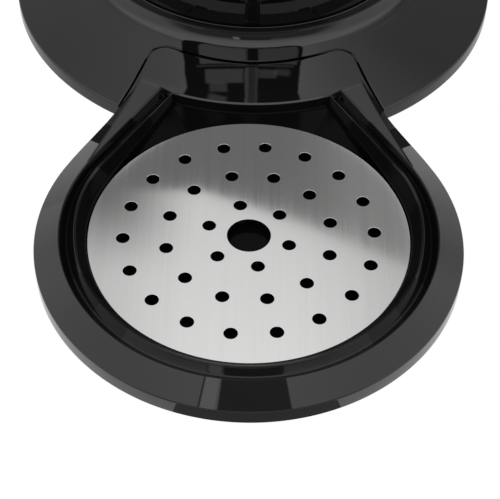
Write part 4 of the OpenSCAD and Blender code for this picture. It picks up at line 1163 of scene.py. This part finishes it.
# ---------------------------------------------------------------- back plate with its vents
def make_back():
    m = Mesh()
    def rounded(w, h, cx, cz, r, n=8):
        return fillet([(cx - w, cz - h), (cx + w, cz - h), (cx + w, cz + h), (cx - w, cz + h)], [r] * 4, n)
    outer = rounded(68, 111.25, 0, 123.65, 1.5)
    slots = [rounded(30, 1.5, 0, 151.5 + 9 * i, 1.49, 6) for i in range(6)]
    holes = [circle(5, 48, (0, 30))] + slots
    def at(loop, y):
        return np.column_stack([loop[:, 0], np.full(len(loop), y), loop[:, 1]])
    e = 0.35
    m.cap([at(inset(outer, e), 8.4)[::-1]] + [at(inset(h, -e), 8.4) for h in holes])
    m.cap([at(inset(outer, e), 6.0)] + [at(inset(h, -e), 6.0)[::-1] for h in holes])
    m.sheet([at(inset(outer, e), 6.0), at(outer, 6 + e), at(outer, 8.4 - e), at(inset(outer, e), 8.4)], True)
    for h in holes:
        m.sheet([at(inset(h, -e), 6.0), at(h, 6 + e), at(h, 8.4 - e), at(inset(h, -e), 8.4)], True)
    return m.build("back_plate", MAT["satin_black"], 25, (0, YC))


piece(make_back(), "column_back")


# ---------------------------------------------------------------- looks of the carried-over nodes
CUSTOM = {}
for name, o in NODES.items():
    mat = CUSTOM.get(name, MAT[SLOT[name]])
    if not o.material_slots:
        o.data.materials.append(mat)
    for s in o.material_slots:
        s.material = mat


# ---------------------------------------------------------------- studio
def one_way(o, toward):
    """Leaves a card's glow only to rays that travel the given way; from behind it lets everything through."""
    me = o.data
    nt = me.materials[0].node_tree
    b, out = nt.nodes["Principled BSDF"], nt.nodes["Material Output"]
    front = me.polygons[0].normal.dot(Vector(toward)) < 0
    geo, mix, tr = nt.nodes.new("ShaderNodeNewGeometry"), nt.nodes.new("ShaderNodeMixShader"), nt.nodes.new("ShaderNodeBsdfTransparent")
    nt.links.new(geo.outputs["Backfacing"], mix.inputs[0])
    nt.links.new((b if front else tr).outputs[0], mix.inputs[1])
    nt.links.new((tr if front else b).outputs[0], mix.inputs[2])
    nt.links.new(mix.outputs[0], out.inputs[0])
    return mix


def flag(name, pts, strength, toward=None):
    """A card seen only in reflections."""
    m = Mesh()
    m.add(np.array(pts, float), [list(range(len(pts)))], 0, True)
    o = m.build(name, [], 30, (0, YT))
    mt, nt, b = new_mat(name)
    b.inputs["Base Color"].default_value = (0, 0, 0, 1)
    b.inputs["Roughness"].default_value = 1.0
    b.inputs["Specular IOR Level"].default_value = 0.0
    b.inputs["Emission Color"].default_value = (1, 1, 1, 1)
    b.inputs["Emission Strength"].default_value = strength
    o.data.materials.append(mt)
    o.visible_camera = o.visible_diffuse = o.visible_shadow = o.visible_transmission = False
    if toward:
        one_way(o, toward)
    return o


def card(name, y, x0, x1, z0, z1, strength, z0r=None, z1r=None):
    flag(name, [(x0, y, z0), (x1, y, z0 if z0r is None else z0r), (x1, y, z1 if z1r is None else z1r), (x0, y, z1)], strength)


def ring_card(name, c, r0, r1, a0, a1, z, strength, n=24):
    a = np.radians(np.linspace(a0, a1, n))
    o = [(c[0] + r1 * math.cos(q), c[1] + r1 * math.sin(q), z) for q in a]
    i = [(c[0] + r0 * math.cos(q), c[1] + r0 * math.sin(q), z) for q in a]
    return flag(name, o + i[::-1], strength)


# grey card over the rear half of the plate
plate_card = [(-8, 18.5), (8, 18.5), (30, 27), (44, 38), (55, 50), (64, 64), (72, 85), (78, 112), (69, 107.7), (22.4, 81.7), (0.2, 71.3), (-21.5, 62.3), (-69, 63.4), (-56, 50), (-44, 38), (-30, 27)]
shade = flag("card_plate", [(x, 72.6, z) for x, z in plate_card], 0.22, (0, 1, 0))


def map_axis(nt, k, a, b, c, d):
    """A smooth ramp along one axis, in millimetres."""
    tc, sep = nt.nodes.new("ShaderNodeTexCoord"), nt.nodes.new("ShaderNodeSeparateXYZ")
    n = node(nt, "ShaderNodeMapRange", interpolation_type="SMOOTHSTEP")
    for key, v in zip(("From Min", "From Max", "To Min", "To Max"), (a * 0.001, b * 0.001, c, d)):
        n.inputs[key].default_value = v
    nt.links.new(tc.outputs["Object"], sep.inputs[0])
    nt.links.new(sep.outputs[k], n.inputs["Value"])
    return n.outputs["Result"]


nt = shade.data.materials[0].node_tree
nt.links.new(map_axis(nt, 0, 10, 55, 0.22, 0.34), nt.nodes["Principled BSDF"].inputs["Emission Strength"])

# its left end fades away upwards and inwards
fade = flag("card_plate_fade", [(-95, 72.4, 60), (-15, 72.4, 60), (-15, 72.4, 130), (-95, 72.4, 130)], 0.24)
nt = fade.data.materials[0].node_tree
one = one_way(fade, (0, 1, 0))
veil, clear, q = nt.nodes.new("ShaderNodeMixShader"), nt.nodes.new("ShaderNodeBsdfTransparent"), node(nt, "ShaderNodeMath", operation="MULTIPLY")
nt.links.new(map_axis(nt, 2, 62, 125, 1.0, 0.0), q.inputs[0])
nt.links.new(map_axis(nt, 0, -62, -20, 1.0, 0.0), q.inputs[1])
nt.links.new(q.outputs[0], veil.inputs[0])
nt.links.new(clear.outputs[0], veil.inputs[1])
nt.links.new(one.outputs[0], veil.inputs[2])
nt.links.new(veil.outputs[0], nt.nodes["Material Output"].inputs[0])


def patch_card(name, y, x0, x1, z0, z1, base, boxes):
    """A soft-edged card whose glow is a base value with soft-edged boxes laid over it."""
    o = flag(name, [(x0 - 3, y, z0 - 3), (x1 + 3, y, z0 - 3), (x1 + 3, y, z1 + 3), (x0 - 3, y, z1 + 3)], base)
    nt = o.data.materials[0].node_tree
    b = nt.nodes["Principled BSDF"]
    tc = nt.nodes.new("ShaderNodeTexCoord")
    sep = nt.nodes.new("ShaderNodeSeparateXYZ")
    nt.links.new(tc.outputs["Object"], sep.inputs[0])
    wob = noise(nt, tc.outputs["Object"], 120, 2)

    def product(p, q):
        n = node(nt, "ShaderNodeMath", operation="MULTIPLY")
        nt.links.new(p, n.inputs[0])
        nt.links.new(q, n.inputs[1])
        return n.outputs[0]

    def soft(val, lo, hi, s):
        out = None
        for c, d in ((lo, 1), (hi, -1)):
            n = node(nt, "ShaderNodeMapRange", interpolation_type="SMOOTHSTEP")
            n.inputs["From Min"].default_value, n.inputs["From Max"].default_value = (c - d * s) * 0.001, (c + d * s) * 0.001
            nt.links.new(val, n.inputs["Value"])
            out = n.outputs["Result"] if out is None else product(out, n.outputs["Result"])
        return out

    def shifted(src, amount):
        n = node(nt, "ShaderNodeMath", operation="MULTIPLY_ADD")
        nt.links.new(wob, n.inputs[0])
        n.inputs[1].default_value = amount
        nt.links.new(src, n.inputs[2])
        return n.outputs[0]

    wx, wz = shifted(sep.outputs[0], 0.0016), shifted(sep.outputs[2], 0.0016)
    total = None
    for bx0, bx1, bz0, bz1, s, val in boxes:
        r = node(nt, "ShaderNodeMath", operation="MULTIPLY_ADD")
        nt.links.new(product(soft(wx, bx0 + 0.8, bx1 + 0.8, s), soft(wz, bz0 + 0.8, bz1 + 0.8, s)), r.inputs[0])
        r.inputs[1].default_value = val - base
        if total is None:
            r.inputs[2].default_value = base
        else:
            nt.links.new(total, r.inputs[2])
        total = r.outputs[0]
    nt.links.new(total, b.inputs["Emission Strength"])
    mix = one_way(o, (0, 1, 0))
    veil, clear = nt.nodes.new("ShaderNodeMixShader"), nt.nodes.new("ShaderNodeBsdfTransparent")
    nt.links.new(product(soft(wx, x0 + 0.8, x1 + 0.8, 0.6), soft(wz, z0 + 0.8, z1 + 0.8, 0.6)), veil.inputs[0])
    nt.links.new(clear.outputs[0], veil.inputs[1])
    nt.links.new(mix.outputs[0], veil.inputs[2])
    nt.links.new(veil.outputs[0], nt.nodes["Material Output"].inputs[0])
    return o


# dark card behind the neck with paler windows and a rib
patch_card("card_neck", 117.6, -31.6, 22.8, 22.2, 66, 0.03, [
    (-24.4, -3.3, 25.2, 39.2, 0.7, 0.57), (-3.3, -2.2, 25, 39, 0.4, 0.3), (3, 21, 25.4, 39.4, 0.7, 0.45),
    (-26, 20, 40.2, 41.4, 0.5, 0.28),
    (-22.2, -4.0, 43.4, 53.4, 0.9, 0.53), (-20.4, -12.2, 53.2, 59.6, 1.1, 0.44),
    (-3.4, -1.4, 42.5, 67, 0.35, 0.50), (-1.2, 1.2, 42.5, 64, 0.35, 0.24), (1.3, 3.0, 42.5, 67, 0.4, 0.36),
    (3.1, 12.0, 43.6, 49.6, 1.0, 0.41), (11.4, 18.0, 43.0, 47.4, 1.4, 0.34)])


def wall_card(name, c, r, a0, a1, z0, z1, strength, n=40):
    """A curved card that glows only on its inner face and lets everything through from outside."""
    a = np.radians(np.linspace(a0, a1, n))
    m = Mesh().sheet([np.column_stack([c[0] + r * np.cos(a), c[1] + r * np.sin(a), np.full(n, z)]) for z in (z0, z1)])
    o = m.build(name, [], 30, (0, YT))
    me = o.data
    inward = me.polygons[0].normal.xy.dot(Vector((c[0], c[1] + YT)) * 0.001 - me.polygons[0].center.xy) > 0
    mt, nt, b = new_mat(name)
    b.inputs["Base Color"].default_value = (0, 0, 0, 1)
    b.inputs["Specular IOR Level"].default_value = 0.0
    b.inputs["Emission Color"].default_value = (1, 1, 1, 1)
    b.inputs["Emission Strength"].default_value = strength
    out = nt.nodes["Material Output"]
    geo, mix, tr = nt.nodes.new("ShaderNodeNewGeometry"), nt.nodes.new("ShaderNodeMixShader"), nt.nodes.new("ShaderNodeBsdfTransparent")
    nt.links.new(geo.outputs["Backfacing"], mix.inputs[0])
    nt.links.new((b if inward else tr).outputs[0], mix.inputs[1])
    nt.links.new((tr if inward else b).outputs[0], mix.inputs[2])
    nt.links.new(mix.outputs[0], out.inputs[0])
    me.materials.append(mt)
    o.visible_camera = o.visible_diffuse = o.visible_shadow = o.visible_transmission = False


wall_card("card_collar", (0, 181), 108, -155, -25, 0.3, 15, 0.3)
card("card_camera", -250, -53, 86, 150, 260, 0.2)
card("card_stand", -250, -93, -89, 150, 260, 0.25)
ring_card("card_floor", (0, 0), 79.5, 100, -109, -65, 0.3, 0.27)
card("card_window", -250, -88, -58, 150, 260, 1.7)

for s in (-1, 1):
    flag("card_shoulder_%s" % ("l" if s < 0 else "r"), [(s * 58, 61.2, 0.2), (s * 70.7, 66.5, 0.2), (s * 70.7, 66.5, 14), (s * 58, 61.2, 14)], 0.035, (0, 1, 0))


def make_world():
    w = bpy.data.worlds.new("studio")
    bpy.context.scene.world = w
    w.use_nodes = True
    nt = w.node_tree
    nt.nodes.clear()
    out = nt.nodes.new("ShaderNodeOutputWorld")
    tc = nt.nodes.new("ShaderNodeTexCoord")
    sep = nt.nodes.new("ShaderNodeSeparateXYZ")
    nt.links.new(tc.outputs["Generated"], sep.inputs[0])

    def math_(op, a, b=None, clamp=False):
        n = nt.nodes.new("ShaderNodeMath")
        n.operation, n.use_clamp = op, clamp
        for k, v in enumerate((a, b)):
            if v is None:
                continue
            if isinstance(v, (int, float)):
                n.inputs[k].default_value = v
            else:
                nt.links.new(v, n.inputs[k])
        return n.outputs[0]

    def ramp(val, a, b, c, d):
        n = nt.nodes.new("ShaderNodeMapRange")
        n.interpolation_type = "SMOOTHSTEP"
        for k, v in zip(("From Min", "From Max", "To Min", "To Max"), (a, b, c, d)):
            n.inputs[k].default_value = v
        nt.links.new(val, n.inputs["Value"])
        return n.outputs["Result"]

    x, y, z = sep.outputs
    # a big soft light overhead; behind the object a paler patch low in the middle, dimmer to the sides
    far = ramp(y, 0.30, 0.60, 0.0, 1.0)
    side = ramp(math_("ABSOLUTE", math_("ADD", x, 0.018)), 0.02, 0.24, 1.0, 0.0)
    low = math_("ADD", math_("ADD", 0.50, math_("MULTIPLY", x, -0.35)), math_("MULTIPLY", side, 0.42))
    wide = ramp(math_("ABSOLUTE", x), 0.4, 0.7, 0.0, 1.0)
    low = math_("ADD", low, math_("MULTIPLY", wide, math_("ADD", 0.265, math_("MULTIPLY", x, 0.266))))
    low = math_("SUBTRACT", low, math_("MULTIPLY", math_("SUBTRACT", 1.0, wide), ramp(z, 0.50, 0.62, 0.30, 0.0)))
    high = ramp(z, 0.70, 0.80, 0.0, 1.0)
    top = math_("SUBTRACT", ramp(z, 0.80, 0.90, 1.2, 1.5), math_("MULTIPLY", ramp(math_("ABSOLUTE", x), 0.03, 0.14, 0.0, 1.0), ramp(z, 0.82, 0.92, 0.45, 0.0)))
    behind = math_("ADD", math_("MULTIPLY", math_("SUBTRACT", 1.0, high), low), math_("MULTIPLY", high, top))
    near = ramp(y, -0.75, -0.45, 1.0, 0.0)
    lowz = ramp(z, 0.42, 0.66, 1.0, 0.0)
    over = math_("SUBTRACT", ramp(z, 0.55, 0.85, 1.05, 1.5), math_("MULTIPLY", math_("MULTIPLY", near, lowz), 0.75))
    val = math_("ADD", math_("MULTIPLY", far, behind), math_("MULTIPLY", math_("SUBTRACT", 1.0, far), over))
    lp = nt.nodes.new("ShaderNodeLightPath")
    bg = nt.nodes.new("ShaderNodeBackground")
    bg.inputs["Color"].default_value = (1, 1, 1, 1)
    nt.links.new(math_("MAXIMUM", val, math_("MULTIPLY", lp.outputs["Is Camera Ray"], 1.2)), bg.inputs["Strength"])
    nt.links.new(bg.outputs[0], out.inputs[0])


make_world()
MIRRORED = {"tray_moulding", "grate_plate", "foot_cover", "foot_shelf", "base_pan", "base_feet", "tray_pads"}
for o in bpy.context.scene.objects:
    if o.type == "MESH" and o.name not in MIRRORED and not o.name.startswith("card_"):
        o.visible_glossy = False



def make_floor():
    m = Mesh()
    m.cap([level(circle(6000, 96), -0.05)])
    f = m.build("floor", [])
    mt, nt, b = new_mat("floor_paper")
    b.inputs["Base Color"].default_value = (0.0, 0.0, 0.0, 1)
    b.inputs["Roughness"].default_value = 1.0
    b.inputs["Specular IOR Level"].default_value = 0.0
    b.inputs["Emission Color"].default_value = (1, 1, 1, 1)
    # white to the camera; in reflections the far half of the paper is dimmer
    tc, sep = nt.nodes.new("ShaderNodeTexCoord"), nt.nodes.new("ShaderNodeSeparateXYZ")
    nt.links.new(tc.outputs["Object"], sep.inputs[0])
    lp, mx = nt.nodes.new("ShaderNodeLightPath"), node(nt, "ShaderNodeMath", operation="MAXIMUM")
    nt.links.new(remap(nt, sep.outputs[1], -0.11, -0.03, 1.0, 0.68), mx.inputs[0])
    nt.links.new(lp.outputs["Is Camera Ray"], mx.inputs[1])
    nt.links.new(mx.outputs[0], b.inputs["Emission Strength"])
    f.data.materials.append(mt)


make_floor()
sc = bpy.context.scene
sc.view_settings.view_transform = "Standard"
sc.view_settings.look = "None"
sc.view_settings.exposure = 0.0
sc.view_settings.gamma = 1.0

bpy.context.view_layer.update()
